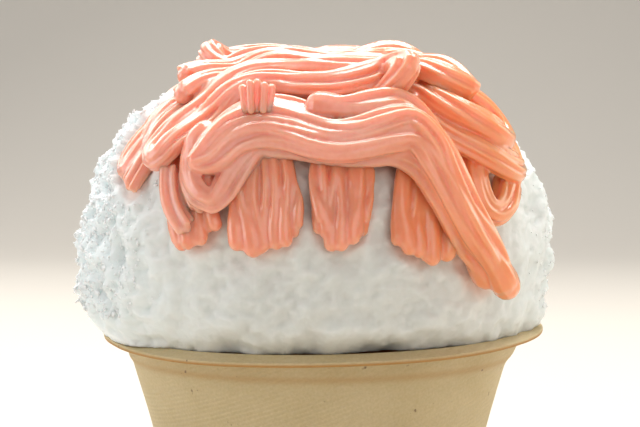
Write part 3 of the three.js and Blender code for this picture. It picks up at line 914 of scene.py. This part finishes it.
def row_path(level, left, right, tail=None, drape=DRAPE, rise=0.0, arch=0.0):
    """A row's route: level + drape * (1 - cos(turns since the crest)) / 2, drawn to the tail.

    tail is the row's place across the tail, or None for a row that doesn't join it. A rise
    lifts the row's right half towards the back, where a stroke turns up over itself, and
    an arch raises the row off the heap by that much at each crest.
    """
    across = np.linspace(left, right, max(3, int((right - left) / POINT_SPACING) + 1))
    turns = 2 * np.pi * (across - CREST) / DRAPE_PERIOD
    front = level + drape * (1 - np.cos(turns)) / 2
    front += LEFT_FALL * smooth_step(-across, LEFT_FALL_FROM, LEFT_FALL_TO)
    if tail is not None:
        share = np.clip((across - TAIL_FROM) / (TAIL_TO - TAIL_FROM), 0, 1)
        front += (TAIL_FRONT + tail - front) * np.sin(share * np.pi / 2)
    else:
        front += RIGHT_FALL * smooth_step(across, RIGHT_FALL_FROM, RIGHT_FALL_TO)
    front -= rise * smooth_step(across, 0.0, right)
    return np.stack([across, front, arch * (1 + np.cos(turns)) / 2], 1)


def arc_path(middle, reach, start, end):
    """Part of an oval on the map; degrees from the right, growing towards the front."""
    turn = np.radians(np.linspace(start, end, TURN_POINTS))
    across = middle[0] + reach[0] * np.cos(turn)
    front = middle[1] + reach[1] * np.sin(turn)
    return np.stack([across, front, 0 * turn], 1)


def stroke(rows, swings, lifts=None):
    """Rows as one stroke, every second one reversed, with a turn past each end.

    A swing moves a turn outwards, and a lift raises it off what lies below.
    """
    lifts = lifts or [0.0] * len(swings)
    path = [rows[0]]
    for index, (row, swing, lift) in enumerate(zip(rows[1:], swings, lifts)):
        row = row[::-1] if index % 2 == 0 else row
        last, following = path[-1][-1], row[0]
        outward = np.sign(last[0]) * swing
        turn = (last + following) / 2 + np.array([outward, 0, lift])
        settling = np.exp(-np.arange(len(row)))[:, None] * [0, 0, LIFT_SHARE * lift]
        path += [turn[None], row + settling]
    return np.concatenate(path)


print("rises of a row:", CREST, "and", CREST + DRAPE_PERIOD)

# %% Laying rows
ROW_WIDTH, ROW_THICKNESS, ROW_SINK, ROW_STRANDS = 8.2, 6.8, 2.0, 8
SWING = 3.0  # how far a turn swings out past the ends of its rows


def lay_rows(name, routes, seed, voxel=VOXEL, thickness=ROW_THICKNESS, sink=ROW_SINK,
             width=ROW_WIDTH, strands=ROW_STRANDS, **ends):
    """Lays rows in their order and fuses them; ends holds a rope's taper and stiffness."""
    surfaces = [
        rope_surface(route, width, thickness, sink, strands, seed + index, **ends)
        for index, route in enumerate(routes)
    ]
    return fused_piece(name, surfaces, voxel)


print("row width and thickness:", ROW_WIDTH, ROW_THICKNESS)

# %% [markdown]
# ## The cream: left shoulder and right turns
#
# The first strokes from side to side fold over the heap's left shoulder in short rows, and
# two thin ends hang beside them. At the right the rope turns back in loops that lie inside
# each other. Parts of ovals make such loops with five numbers each, where a drawn curve
# would need a point for every bend.

# %% Left shoulder and right turns
SHOULDER_ROWS = ((25.0, -58.0, -32.0), (18.0, -58.0, -32.0), (11.0, -50.0, -32.0),
                 (4.0, -44.0, -30.0))  # level, left end and right end of each
LEFT_DROPS = ((-35.0, 52.0, 15.0), (-40.5, 54.0, 15.0))  # place, start and length of each
DROP_BOW = 2.0
RIGHT_HOOK, RIGHT_HOOK_REACH = (50.0, 47.0), (6.5, 10.0)
RIGHT_TURN, RIGHT_TURN_REACH, INNER_SHARE = (37.0, 36.0), (19.0, 12.0), 0.6


def drop_path(right, start, length):
    """A short hanging end: down by its length, bowed outwards by a sine."""
    share = np.linspace(0, 1, 5)
    across = right + np.sign(right) * DROP_BOW * np.sin(np.pi * share)
    return np.stack([across, start + length * share, 0 * share], 1)


shoulder_rows = [row_path(*row, drape=0.0) for row in SHOULDER_ROWS]
shoulder = stroke(shoulder_rows, [SWING] * 3)
lay_rows("cream_left_shoulder", [shoulder], seed=230, voxel=0.42, thickness=4.4)
left_drops = [drop_path(*drop) for drop in LEFT_DROPS]
lay_rows("cream_left_drops", left_drops, seed=235, voxel=0.3, thickness=4.6, width=5.5, strands=4)
right_turns = [
    arc_path(RIGHT_HOOK, RIGHT_HOOK_REACH, 200, -20),
    arc_path(RIGHT_TURN, RIGHT_TURN_REACH, 140, -95),
    arc_path(RIGHT_TURN, np.multiply(RIGHT_TURN_REACH, INNER_SHARE), 175, -130),
]
lay_rows("cream_right_turns", right_turns, seed=240)

# %% [markdown]
# ## The cream: folded rows
#
# Above the tongues the rope goes to and fro in stacked rows. After the lowest of them it
# folds up over itself, and the fold stands out as a small knob: that turn is lifted. Rows
# higher up bridge the hollows below, so each rises off the heap a little at every crest.

# %% Folded rows
folded_rows = stroke(
    [
        row_path(48.0, -27.0, 16.0, rise=5.0),
        row_path(37.0, -42.0, 16.0, rise=2.0, arch=0.8),
        row_path(30.0, -40.0, 28.0, arch=1.6),
        row_path(21.0, -35.0, 35.0, arch=1.8),
    ],
    [SWING] * 3,
    [8.0, 0.0, 0.0],
)
lay_rows("cream_folded_rows", [folded_rows], seed=219)

# %% [markdown]
# ## The cream: the tail
#
# The lowest rows are the last ones at the front. They start in a loop that hangs at the left,
# cross the tongues, and draw together at the right into one long tail that slides down the
# ice. The rope was pulled tight there, so these rows are stiffer, sink deeper into what is
# below, and taper to a round tip.

# %% Tail rows
hanging_start = arc_path((-28.5, 60.0), (5.0, 7.5), 270, 90)
lowest_row = row_path(59.0, -18.0, 59.0, tail=1.2, drape=2.5)
lowest_row = np.concatenate([hanging_start, lowest_row])
turned_rows = [
    row_path(57.0, -27.0, 62.0, tail=0.0, drape=5.5)[::-1],
    row_path(53.0, -28.0, 65.0, tail=-1.2, drape=7.0)[::-1],
]
tail_rows = [row_path(47.0, 0.0, 38.0), lowest_row, stroke(turned_rows, [3.5])]
lay_rows("cream_tail_rows", tail_rows, seed=200, sink=3.2, taper=0.3, stiffness=12.0)

# %% [markdown]
# ## The cream: over the top and behind it
#
# The stroke ends over the top of the heap, with one more lifted turn, a knob at the upper
# left. Behind the top nothing interrupted the nozzle, so the rows there are even, and one
# formula with the row's number lays all of them.

# %% Top rows
top_rows = stroke(
    [
        row_path(12.0, -34.0, 16.0, arch=2.0),
        row_path(4.0, -27.0, 15.0, arch=2.0),
        row_path(-5.0, -26.0, 47.0, arch=2.4),
    ],
    [SWING, 2.0],
    [0.0, 5.0],
)
lay_rows("cream_top_rows", [top_rows], seed=225)

# %% Rows behind the top
BACK_ROWS, BACK_FIRST, BACK_PITCH = 6, -12.0, 8.5
BACK_HALF, BACK_GROWTH = 37.0, 2  # half a row's length, and how much longer each next one is


def back_row(index):
    """One even row behind the top: a slow wave, bowed by 3 * share^2."""
    share = np.linspace(-1, 1, 7)
    right = share * (BACK_HALF + BACK_GROWTH * index)
    wave = 2 * np.sin(3 * share + 2.1 * index) + 3 * share**2
    return np.stack([right, BACK_FIRST - index * BACK_PITCH + wave, 0 * right], 1)


back_rows = stroke([back_row(index) for index in range(BACK_ROWS)], [SWING] * (BACK_ROWS - 1))
lay_rows("cream_back_rows", [back_rows], seed=260, voxel=VOXEL_BACK)

# %% [markdown]
# ## The cream: where the nozzle lifted off
#
# On the first rise the nozzle was pulled straight up, which left the ends of a few strands
# standing in a small upright bundle. They are short tubes side by side, from the cream's own
# surface, each ending at its own height.

# %% Upright ends
STUB_ENDS, STUB_PLACE, STUB_HEIGHT, STUB_POINTS = 5, (-14.5, 53.0), 6.3, 10
STUB_SPACING, STUB_RADIUS, STUB_UNEVEN = 1.45, 0.92, 0.9
STUB_FALL, STUB_DEPTH, STUB_FAN, STUB_LEAN, STUB_SWELL = 0.22, 0.6, 0.2, 0.8, 0.12
STUB_ROOT = -0.08  # the strands start inside the cream, below their foot


def stub_surface():
    """A row of upright tubes, slightly fanned, the middle ones tallest, on the first rise."""
    rng = np.random.default_rng(300)
    column, row = map_cell(np.array(STUB_PLACE))
    height = cream_height[column, row]
    foot = mound_point(*np.array([[STUB_PLACE[0]], [STUB_PLACE[1]], [height]]))[0]
    across = (np.arange(STUB_ENDS) - (STUB_ENDS - 1) / 2) * STUB_SPACING
    share = np.linspace(STUB_ROOT, 1, STUB_POINTS)
    rise = STUB_HEIGHT - STUB_FALL * across**2
    rise = rise + rng.uniform(-STUB_UNEVEN, STUB_UNEVEN, STUB_ENDS)
    depth = STUB_DEPTH * np.cos(np.pi * np.arange(STUB_ENDS))
    lines = np.zeros((STUB_ENDS, STUB_POINTS, 3)) + foot
    lines[..., 0] += across[:, None] * (1 + STUB_FAN * share)
    lines[..., 1] += depth[:, None] + STUB_LEAN * share**2
    lines[..., 2] += rise[:, None] * share
    radii = STUB_RADIUS * rng.uniform(0.9, 1.15, (STUB_ENDS, 1)) * (1 + STUB_SWELL * share**4)
    points, rings = round_tubes(lines, radii, np.array([0.0, 1.0, 0.0]))
    return points.reshape(-1, 3), *tube_faces(len(points), rings, STRAND_SIDES)


fused_piece("cream_stub", [stub_surface()], VOXEL_SMALL, SOFTENING_SMALL)
print("cream pieces:", len(cream_pieces))

# %% [markdown]
# ## Cream on the ice
#
# Cream presses the ice under it flat, and some of it soaks in, so the ice just beside an edge
# is faintly pink. The height map already knows where cream lies. Blurred over a few cells
# and read at each point of the ice, it says how far to draw that point back to the smooth
# heap, and becomes an attribute that the ice's material mixes in. Cutting the cream out of
# the ice would also work, but would leave a hard edge.

# %% Pressed and stained ice
STAIN_REACH = 2.0  # cells of the height map
STAIN_STRENGTH = 0.4
COVER_HEIGHT = 0.5  # cream this high counts as cover
PRESSED_LEFT = 0.2  # what still stands above the smooth heap under cream
PRESS_FADE = (0.25, 0.6)

cream_cover = (cream_height > COVER_HEIGHT).astype(float)
cream_cover = smooth_along(smooth_along(cream_cover, STAIN_REACH).T, STAIN_REACH).T


def cream_share(direction):
    """Blurred share of cream in directions from the heap's middle, from 0 to 1."""
    reach = np.degrees(np.arccos(np.clip(direction[:, 2], -1, 1)))
    azimuth = azimuth_of(direction)
    columns, rows = map_cell(reach * np.sin(azimuth)), map_cell(reach * np.cos(azimuth))
    last = len(map_axis) - 1
    return cream_cover[np.clip(columns, 0, last), np.clip(rows, 0, last)]


def press_ice(points, direction, share):
    """Ice under cream pressed to the smooth heap: reach - share * what stands above it."""
    reach = np.linalg.norm(points - MOUND_CENTRE, axis=1)
    above = np.maximum(reach - mound_radius(direction) - PRESSED_LEFT, 0)
    pressed = smooth_step(share, *PRESS_FADE) * above
    return points - direction * pressed[:, None]


ice_coordinates = np.zeros(3 * len(ice.data.vertices))
ice.data.vertices.foreach_get("co", ice_coordinates)
ice_places = ice_coordinates.reshape(-1, 3) / MM
ice_directions = unit(ice_places - MOUND_CENTRE)
ice_share = cream_share(ice_directions)
ice_pressed = press_ice(ice_places, ice_directions, ice_share)
ice.data.vertices.foreach_set("co", (ice_pressed * MM).ravel())
ice.data.update()
# looseness also places the ice's painted light: lit white at the left, shaded grey at the front
for label, numbers in (
    ("stain", STAIN_STRENGTH * ice_share),
    ("loose", looseness(ice_directions)),
):
    ice.data.attributes.new(label, "FLOAT", "POINT").data.foreach_set("value", numbers)
print("share of the ice near cream:", round(float((ice_share > 0.25).mean()), 2))

# %% [markdown]
# ## Loose shavings
#
# Single shavings catch the light where the ice lies loose. Each is a thin, slightly bent
# hexagonal chip, so a few faces are enough. Thousands are placed by drawing random
# directions, more of them where the ice is loose and none on cream, and standing each chip
# half in the surface at a random tilt. All chips of a size make one mesh, built from arrays.

# %% Shavings
CHIP_SIDES = 6
CHIP_RISE = (-0.22, 0.92)  # sine of the lowest and highest rise where chips lie
CHIP_TILT, CHIP_SPREAD, CHIP_BEND = 0.4, 0.35, 0.18
CHIP_WIDTHS, CHIP_RAGS = (0.35, 0.8), (0.65, 1.15)  # shares of the length, of the radius
CHIP_OFF_CREAM = 0.2  # most cream cover under a chip


def chip_cloud(name, count, size, thickness, seed, keep):
    """Thin hexagonal chips scattered over the ice; keep gives each spot's chance to stay."""
    rng = np.random.default_rng(seed)
    rise = np.arcsin(rng.uniform(*CHIP_RISE, count))
    direction = direction_at(rng.uniform(-np.pi, np.pi, count), rise)
    direction = direction[rng.random(count) < keep(direction)]
    chips = len(direction)
    middle = ice_surface_point(direction)
    normal = direction + rng.normal(0, CHIP_TILT, (chips, 3))
    normal /= np.linalg.norm(normal, axis=1)[:, None]
    first = np.cross(normal, rng.normal(0, 1, (chips, 3)))
    first /= np.linalg.norm(first, axis=1)[:, None]
    second = np.cross(normal, first)
    length = size * rng.lognormal(0, CHIP_SPREAD, chips)
    width = length * rng.uniform(*CHIP_WIDTHS, chips)
    turn = np.arange(CHIP_SIDES) * 2 * np.pi / CHIP_SIDES
    ragged = rng.uniform(*CHIP_RAGS, (chips, CHIP_SIDES))
    along = length[:, None] / 2 * np.cos(turn) * ragged
    across = width[:, None] / 2 * np.sin(turn) * ragged
    bend = CHIP_BEND * along**2 / length[:, None]
    rim = middle[:, None] + along[..., None] * first[:, None]
    rim = rim + across[..., None] * second[:, None] + bend[..., None] * normal[:, None]
    pole = normal * thickness * length[:, None] / size / 2
    points = np.concatenate([(middle - pole)[:, None], rim, (middle + pole)[:, None]], axis=1)
    quads, triangles = tube_faces(chips, 1, CHIP_SIDES)
    piece = add_mesh(name, points.reshape(-1, 3), quads, triangles)
    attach(piece, "root")
    print(name, "chips:", chips, "triangles:", len(triangles))
    return piece


def chip_chance(direction, full):
    """Chance of a chip to stay: 0 in packed ice and on cream, 1 where looseness is full."""
    bare = cream_share(direction) < CHIP_OFF_CREAM
    return smooth_step(looseness(direction), 0.5, full) * bare


coarse_chips = chip_cloud(
    "ice_shavings_coarse", 9000, 1.6, 0.6, 21, lambda direction: chip_chance(direction, 1.0)
)
fine_chips = chip_cloud(
    "ice_shavings_fine", 24000, 0.85, 0.4, 22, lambda direction: chip_chance(direction, 0.95)
)

# %% [markdown]
# ## Materials
#
# Cream, ice and cup all let light in and scatter it under their skin, so each uses
# subsurface scattering on the Principled shader: warm and short for the cream, nearly white
# for the ice, and only a little for the cup's fibre. One shader group serves all three:
# uneven mottling made of two sizes of noise, which varies the colour and gives fine relief.

# %% Shared mottling group
MOTTLE_INPUTS = (("Patch Scale", 80.0), ("Grain Scale", 900.0), ("Grain Share", 0.4))


def make_mottle_group():
    """Group of two noises mixed into one mask: coarse patches and fine grain."""
    group = bpy.data.node_groups.new("mottle", "ShaderNodeTree")
    for label, value in MOTTLE_INPUTS:
        socket = group.interface.new_socket(label, in_out="INPUT", socket_type="NodeSocketFloat")
        socket.default_value = value
    group.interface.new_socket("Mask", in_out="OUTPUT", socket_type="NodeSocketFloat")
    nodes, links = group.nodes, group.links
    entry, leave = nodes.new("NodeGroupInput"), nodes.new("NodeGroupOutput")
    place = nodes.new("ShaderNodeTexCoord")
    patch, grain = nodes.new("ShaderNodeTexNoise"), nodes.new("ShaderNodeTexNoise")
    patch.inputs["Detail"].default_value = 3.0
    grain.inputs["Detail"].default_value = 2.0
    mix = nodes.new("ShaderNodeMix")
    for noise, label in ((patch, "Patch Scale"), (grain, "Grain Scale")):
        links.new(place.outputs["Object"], noise.inputs["Vector"])
        links.new(entry.outputs[label], noise.inputs["Scale"])
    links.new(entry.outputs["Grain Share"], mix.inputs["Factor"])
    links.new(patch.outputs["Fac"], mix.inputs["A"])
    links.new(grain.outputs["Fac"], mix.inputs["B"])
    links.new(mix.outputs["Result"], leave.inputs["Mask"])
    return group


mottle = make_mottle_group()
print("group:", mottle.name)

# %% Material helpers
RAMP_STOPS = (0.3, 0.7)


def new_material(name):
    """A node material with only its Principled shader and output."""
    material = bpy.data.materials.new(name)
    material.use_nodes = True
    nodes = material.node_tree.nodes
    return material, nodes, material.node_tree.links, nodes["Principled BSDF"]


def set_values(node, values):
    """Sets constants on a node's own sockets."""
    for label, value in values.items():
        node.inputs[label].default_value = value


def place_mottle(nodes, *numbers):
    """The mottling group with its values, in the order of its inputs; returns its mask."""
    group = nodes.new("ShaderNodeGroup")
    group.node_tree = mottle
    set_values(group, {label: number for (label, _), number in zip(MOTTLE_INPUTS, numbers)})
    return group.outputs["Mask"]


def place_ramp(nodes, links, factor, low, high, stops=RAMP_STOPS):
    """A colour ramp fed by factor, from a low to a high linear colour between two stops."""
    ramp = nodes.new("ShaderNodeValToRGB")
    for element, position, colour in zip(ramp.color_ramp.elements, stops, (low, high)):
        element.position = position
        element.color = (*colour, 1.0)
    links.new(factor, ramp.inputs["Fac"])
    return ramp.outputs["Color"]


def mix_colour(nodes, links, factor, first, second):
    """The first colour's output, turned into a fixed second colour by the factor."""
    mix = nodes.new("ShaderNodeMix")
    mix.data_type = "RGBA"
    mix.inputs["B"].default_value = (*second, 1.0)
    links.new(factor, mix.inputs["Factor"])
    links.new(first, mix.inputs["A"])
    return mix.outputs["Result"]


def read_attribute(nodes, name):
    """The output of one of the mesh's point attributes."""
    reader = nodes.new("ShaderNodeAttribute")
    reader.attribute_name = name
    return reader.outputs["Fac"]


def add_bump(nodes, links, shader, height, strength, distance):
    """Fine relief on the shader from a height output; distance is in millimetres."""
    bump = nodes.new("ShaderNodeBump")
    set_values(bump, {"Strength": strength, "Distance": distance * MM})
    links.new(height, bump.inputs["Height"])
    links.new(bump.outputs["Normal"], shader.inputs["Normal"])


print("material helpers ready")

# %% [markdown]
# ## The cream's finish
#
# The cream is glossy and wet, with a clear coat over a soft, scattering pink. Warm light that
# shines through it from behind at the right is painted in: a point's place from left to right
# drives a mix to an orange. The hanging tongues get a copy of this finish, made by the same
# function with deeper pinks that paint the shade at the front and the orange glow of light
# through the thin hanging cream.

# %% Cream material
# painted light: orange towards the right stands for warm light shining through from behind
GLOW_FROM, GLOW_TO, GLOW_SHARE = 5.0, 55.0, 0.85
GLOW_COLOUR = (0.94, 0.32, 0.075)
CREAM_DEEP, CREAM_LIGHT = (0.80, 0.31, 0.20), (0.88, 0.42, 0.305)
# painted shade and glow: the tongues' deeper pinks stand for front shade and light through them
SHADED_DEEP, SHADED_LIGHT = (0.83, 0.27, 0.14), (0.89, 0.36, 0.22)


def make_cream_material(name, deep, light):
    """Salmon pink, glossy and wet, uneven in soft patches, with a painted warm glow to the right.
    """
    material, nodes, links, shader = new_material(name)
    place = nodes.new("ShaderNodeTexCoord")
    split = nodes.new("ShaderNodeSeparateXYZ")
    painted_glow = nodes.new("ShaderNodeMapRange")
    limits = {"From Min": GLOW_FROM * MM, "From Max": GLOW_TO * MM, "To Max": GLOW_SHARE}
    set_values(painted_glow, limits)
    links.new(place.outputs["Object"], split.inputs["Vector"])
    links.new(split.outputs["X"], painted_glow.inputs["Value"])
    patches = place_mottle(nodes, 60.0, 700.0, 0.3)
    colour = place_ramp(nodes, links, patches, deep, light)
    # painted light: the place from left to right mixes in the painted warm glow
    glowing = mix_colour(nodes, links, painted_glow.outputs["Result"], colour, GLOW_COLOUR)
    links.new(glowing, shader.inputs["Base Color"])
    add_bump(nodes, links, shader, patches, 0.15, 0.3)
    set_values(shader, {
        "Roughness": 0.32,
        "IOR": 1.45,
        "Subsurface Weight": 1.0,
        "Subsurface Radius": (1.0, 0.45, 0.28),
        "Subsurface Scale": 0.0045,
        "Coat Weight": 1.0,
        "Coat Roughness": 0.16,
        "Coat IOR": 1.6,
    })
    return material


cream_material = make_cream_material("pink_cream", CREAM_DEEP, CREAM_LIGHT)
# the tongues' copy of the finish, whose deeper pinks are painted shade and glow
tongue_material = make_cream_material("pink_cream_shaded", SHADED_DEEP, SHADED_LIGHT)
for piece in cream_pieces:
    piece.data.materials.append(tongue_material if piece in tongue_pieces else cream_material)
print("cream finishes on", len(cream_pieces), "pieces")

# %% [markdown]
# ## The ice's finish
#
# Loose ice is full of air and reads white. Packed ice is wet and lets more of its
# surroundings through, so it is greyer. The two colours also paint light: the loose ice's
# bluish white paints the cool window light at the left, where the ice is loosest, and the
# packed ice's darker grey paints the shade at the front. The looseness that shaped the clumps
# is stored at every point and mixes the two, and the stain mixes in the cream's pink. Single
# shavings are too thin to scatter light under a skin, so a plain white does for them.

# %% Ice material
# partly painted light: the packed greys are darkened as shade, the loose white tinted by cool
# light
PACKED_SHADED_DARK, PACKED_SHADED_LIGHT = (0.56, 0.53, 0.46), (0.67, 0.64, 0.57)
LOOSE_LIT_WHITE, SOAKED_PINK = (0.88, 0.96, 0.97), (0.90, 0.50, 0.36)
SHAVING_WHITE = (0.93, 0.94, 0.94, 1.0)
ICE_IOR = 1.31


def make_ice_material():
    """Whiter where loose, greyer where packed, partly painted light and shade, with a crystalline
    bump.
    """
    material, nodes, links, shader = new_material("shaved_ice")
    patches = place_mottle(nodes, 45.0, 600.0, 0.35)
    packed_shaded = place_ramp(nodes, links, patches, PACKED_SHADED_DARK, PACKED_SHADED_LIGHT)
    # looseness mixes the ice's own tones with painted light: lit bluish white left, shaded grey
    # front
    loose_lit = mix_colour(nodes, links, read_attribute(nodes, "loose"), packed_shaded, LOOSE_LIT_WHITE)
    soaked = mix_colour(nodes, links, read_attribute(nodes, "stain"), loose_lit, SOAKED_PINK)
    links.new(soaked, shader.inputs["Base Color"])
    add_bump(nodes, links, shader, patches, 0.5, 0.6)
    set_values(shader, {
        "Roughness": 0.45,
        "IOR": ICE_IOR,
        "Subsurface Weight": 0.85,
        "Subsurface Radius": (0.9, 1.0, 1.0),
        "Subsurface Scale": 0.0035,
    })
    return material


def make_chip_material():
    """Plain white for the loose shavings."""
    material, _, _, shader = new_material("ice_shavings")
    set_values(shader, {"Base Color": SHAVING_WHITE, "Roughness": 0.35, "IOR": ICE_IOR})
    return material


ice_material, chip_material = make_ice_material(), make_chip_material()
ice.data.materials.append(ice_material)
for piece in (coarse_chips, fine_chips):
    piece.data.materials.append(chip_material)
print("ice finishes:", ice_material.name, chip_material.name)

# %% [markdown]
# ## The cup's finish
#
# Unbleached fibre is beige, matte and mottled, with a few dark specks, and the mould's wire
# mesh leaves faint slanted lines. The lines and the grain are too fine for geometry, so they
# are a bump. A high cut of one more noise makes the specks. Shade painted in brown on the
# rim's cut edge and along the step comes from the number stored with the cup's points.

# %% Cup material
FIBRE_DARK, FIBRE_LIGHT = (0.50, 0.39, 0.20), (0.61, 0.49, 0.285)
SPECK_BROWN, SPECK_SCALE, SPECK_STOPS = (0.22, 0.14, 0.07), 420.0, (0.72, 0.78)
# painted shade: the darker brown that stands for shade on the rim's edge and along the step
SHADE_BROWN = (0.42, 0.22, 0.06)
MESH_LINES, MESH_SLANT, MESH_UNEVEN = 280.0, 20.0, 0.6  # the wave's own scale; degrees
BLACK, WHITE = (0, 0, 0), (1, 1, 1)


def make_cup_material():
    """Pressed plant fibre: beige, matte, mottled, with dark specks, mesh marks and painted shade.
    """
    material, nodes, links, shader = new_material("moulded_fibre")
    place = nodes.new("ShaderNodeTexCoord")
    patches = place_mottle(nodes, 70.0, 1500.0, 0.5)
    colour = place_ramp(nodes, links, patches, FIBRE_DARK, FIBRE_LIGHT)
    # painted shade: the stored number mixes the fibre towards a darker brown at the rim and step
    painted_shade = mix_colour(nodes, links, read_attribute(nodes, "painted_shade"), colour, SHADE_BROWN)
    specks = nodes.new("ShaderNodeTexNoise")
    set_values(specks, {"Scale": SPECK_SCALE})
    links.new(place.outputs["Object"], specks.inputs["Vector"])
    speck_mask = place_ramp(nodes, links, specks.outputs["Fac"], BLACK, WHITE, SPECK_STOPS)
    speckled = mix_colour(nodes, links, speck_mask, painted_shade, SPECK_BROWN)
    links.new(speckled, shader.inputs["Base Color"])
    turned = nodes.new("ShaderNodeMapping")
    set_values(turned, {"Rotation": (0.0, math.radians(MESH_SLANT), 0.0)})
    wires = nodes.new("ShaderNodeTexWave")
    wires.bands_direction = "Z"
    set_values(wires, {"Scale": MESH_LINES, "Distortion": MESH_UNEVEN})
    links.new(place.outputs["Object"], turned.inputs["Vector"])
    links.new(turned.outputs["Vector"], wires.inputs["Vector"])
    height = nodes.new("ShaderNodeMath")
    height.operation = "ADD"
    links.new(wires.outputs["Fac"], height.inputs[0])
    links.new(patches, height.inputs[1])
    add_bump(nodes, links, shader, height.outputs["Value"], 0.35, 0.25)
    set_values(shader, {
        "Roughness": 0.7,
        "Subsurface Weight": 0.25,
        "Subsurface Radius": (1.0, 0.7, 0.4),
        "Subsurface Scale": 0.002,
    })
    return material


cup_material = make_cup_material()
cup.data.materials.append(cup_material)
print("materials:", len(bpy.data.materials))

# %% [markdown]
# ## The stage
#
# A pale floor that curves up behind, and soft light from five square lamps. The strongest
# hangs above. One behind at the left makes the cream's upper edges glow. Two at the sides act
# as windows, a cool one at the left and a warm one at the right, and a wide warm one fills
# the front, so that the near side stays readable. A pale world adds a little from all round.

# %% Floor
FLOOR_HALF, FLOOR_BACK, WALL_HEIGHT, BEND, FLOOR_SIDE = 1.6, 1.4, 1.6, 0.5, 2.5  # metres
BEND_POINTS = 13


def make_floor():
    """A strip carried along floor, quarter-round bend and wall."""
    turn = np.linspace(0, np.pi / 2, BEND_POINTS)
    depth = np.concatenate([[-FLOOR_HALF], FLOOR_BACK - BEND + BEND * np.sin(turn), [FLOOR_BACK]])
    height = np.concatenate([[0], BEND - BEND * np.cos(turn), [WALL_HEIGHT]])
    side = np.array([-FLOOR_SIDE, FLOOR_SIDE])
    grid = np.broadcast_arrays(side, depth[:, None], height[:, None])
    points = np.stack(grid, axis=-1).reshape(-1, 3)
    low = np.arange(len(depth) - 1) * 2
    quads = np.stack([low, low + 1, low + 3, low + 2], 1)
    return add_mesh("floor", points / MM, quads, np.zeros((0, 3), int))


floor = make_floor()
floor_material, _, _, floor_shader = new_material("floor")
set_values(floor_shader, {"Base Color": (0.62, 0.58, 0.52, 1.0), "Roughness": 0.8})
floor.data.materials.append(floor_material)
print("floor faces:", len(floor.data.polygons))

# %% Lights
HEAP_MIDDLE = (0.0, 0.0, 0.095)
LIGHTS = (  # name, place in metres, size, power in watts, colour
    ("back_left", (-0.55, 0.55, 0.62), 0.7, 4.0, (1.0, 0.98, 0.95)),
    ("left_window", (-1.0, -0.15, 0.35), 0.7, 3.2, (0.93, 0.97, 1.0)),
    ("right_window", (0.85, 0.3, 0.3), 0.7, 3.0, (1.0, 0.95, 0.84)),
    ("top", (0.05, 0.25, 0.9), 0.7, 11.5, (1.0, 0.99, 0.97)),
    ("front_fill", (0.35, -1.1, 0.55), 1.2, 4.6, (1.0, 0.95, 0.90)),
)
WORLD_COLOUR, WORLD_STRENGTH = (0.95, 0.96, 1.0, 1.0), 0.36


def add_area_light(name, place, size, power, colour):
    """A square area light turned towards the middle of the heap."""
    data = bpy.data.lights.new(name, "AREA")
    data.shape = "SQUARE"
    data.size = size
    data.energy = power
    data.color = colour
    light = link_object(name, data)
    back = unit(np.array(place) - np.array(HEAP_MIDDLE))
    right = unit(np.cross([0, 0, 1], back))
    up = np.cross(back, right)
    light.rotation_euler = Matrix(np.stack([right, up, back], 1).tolist()).to_euler()
    light.location = place


for lamp in LIGHTS:
    add_area_light(*lamp)

world = bpy.data.worlds.new("studio")
bpy.context.scene.world = world
bpy.context.scene.view_settings.view_transform = "Standard"
world.use_nodes = True
background = world.node_tree.nodes["Background"]
set_values(background, {"Color": WORLD_COLOUR, "Strength": WORLD_STRENGTH})
print("lamps:", len(LIGHTS))
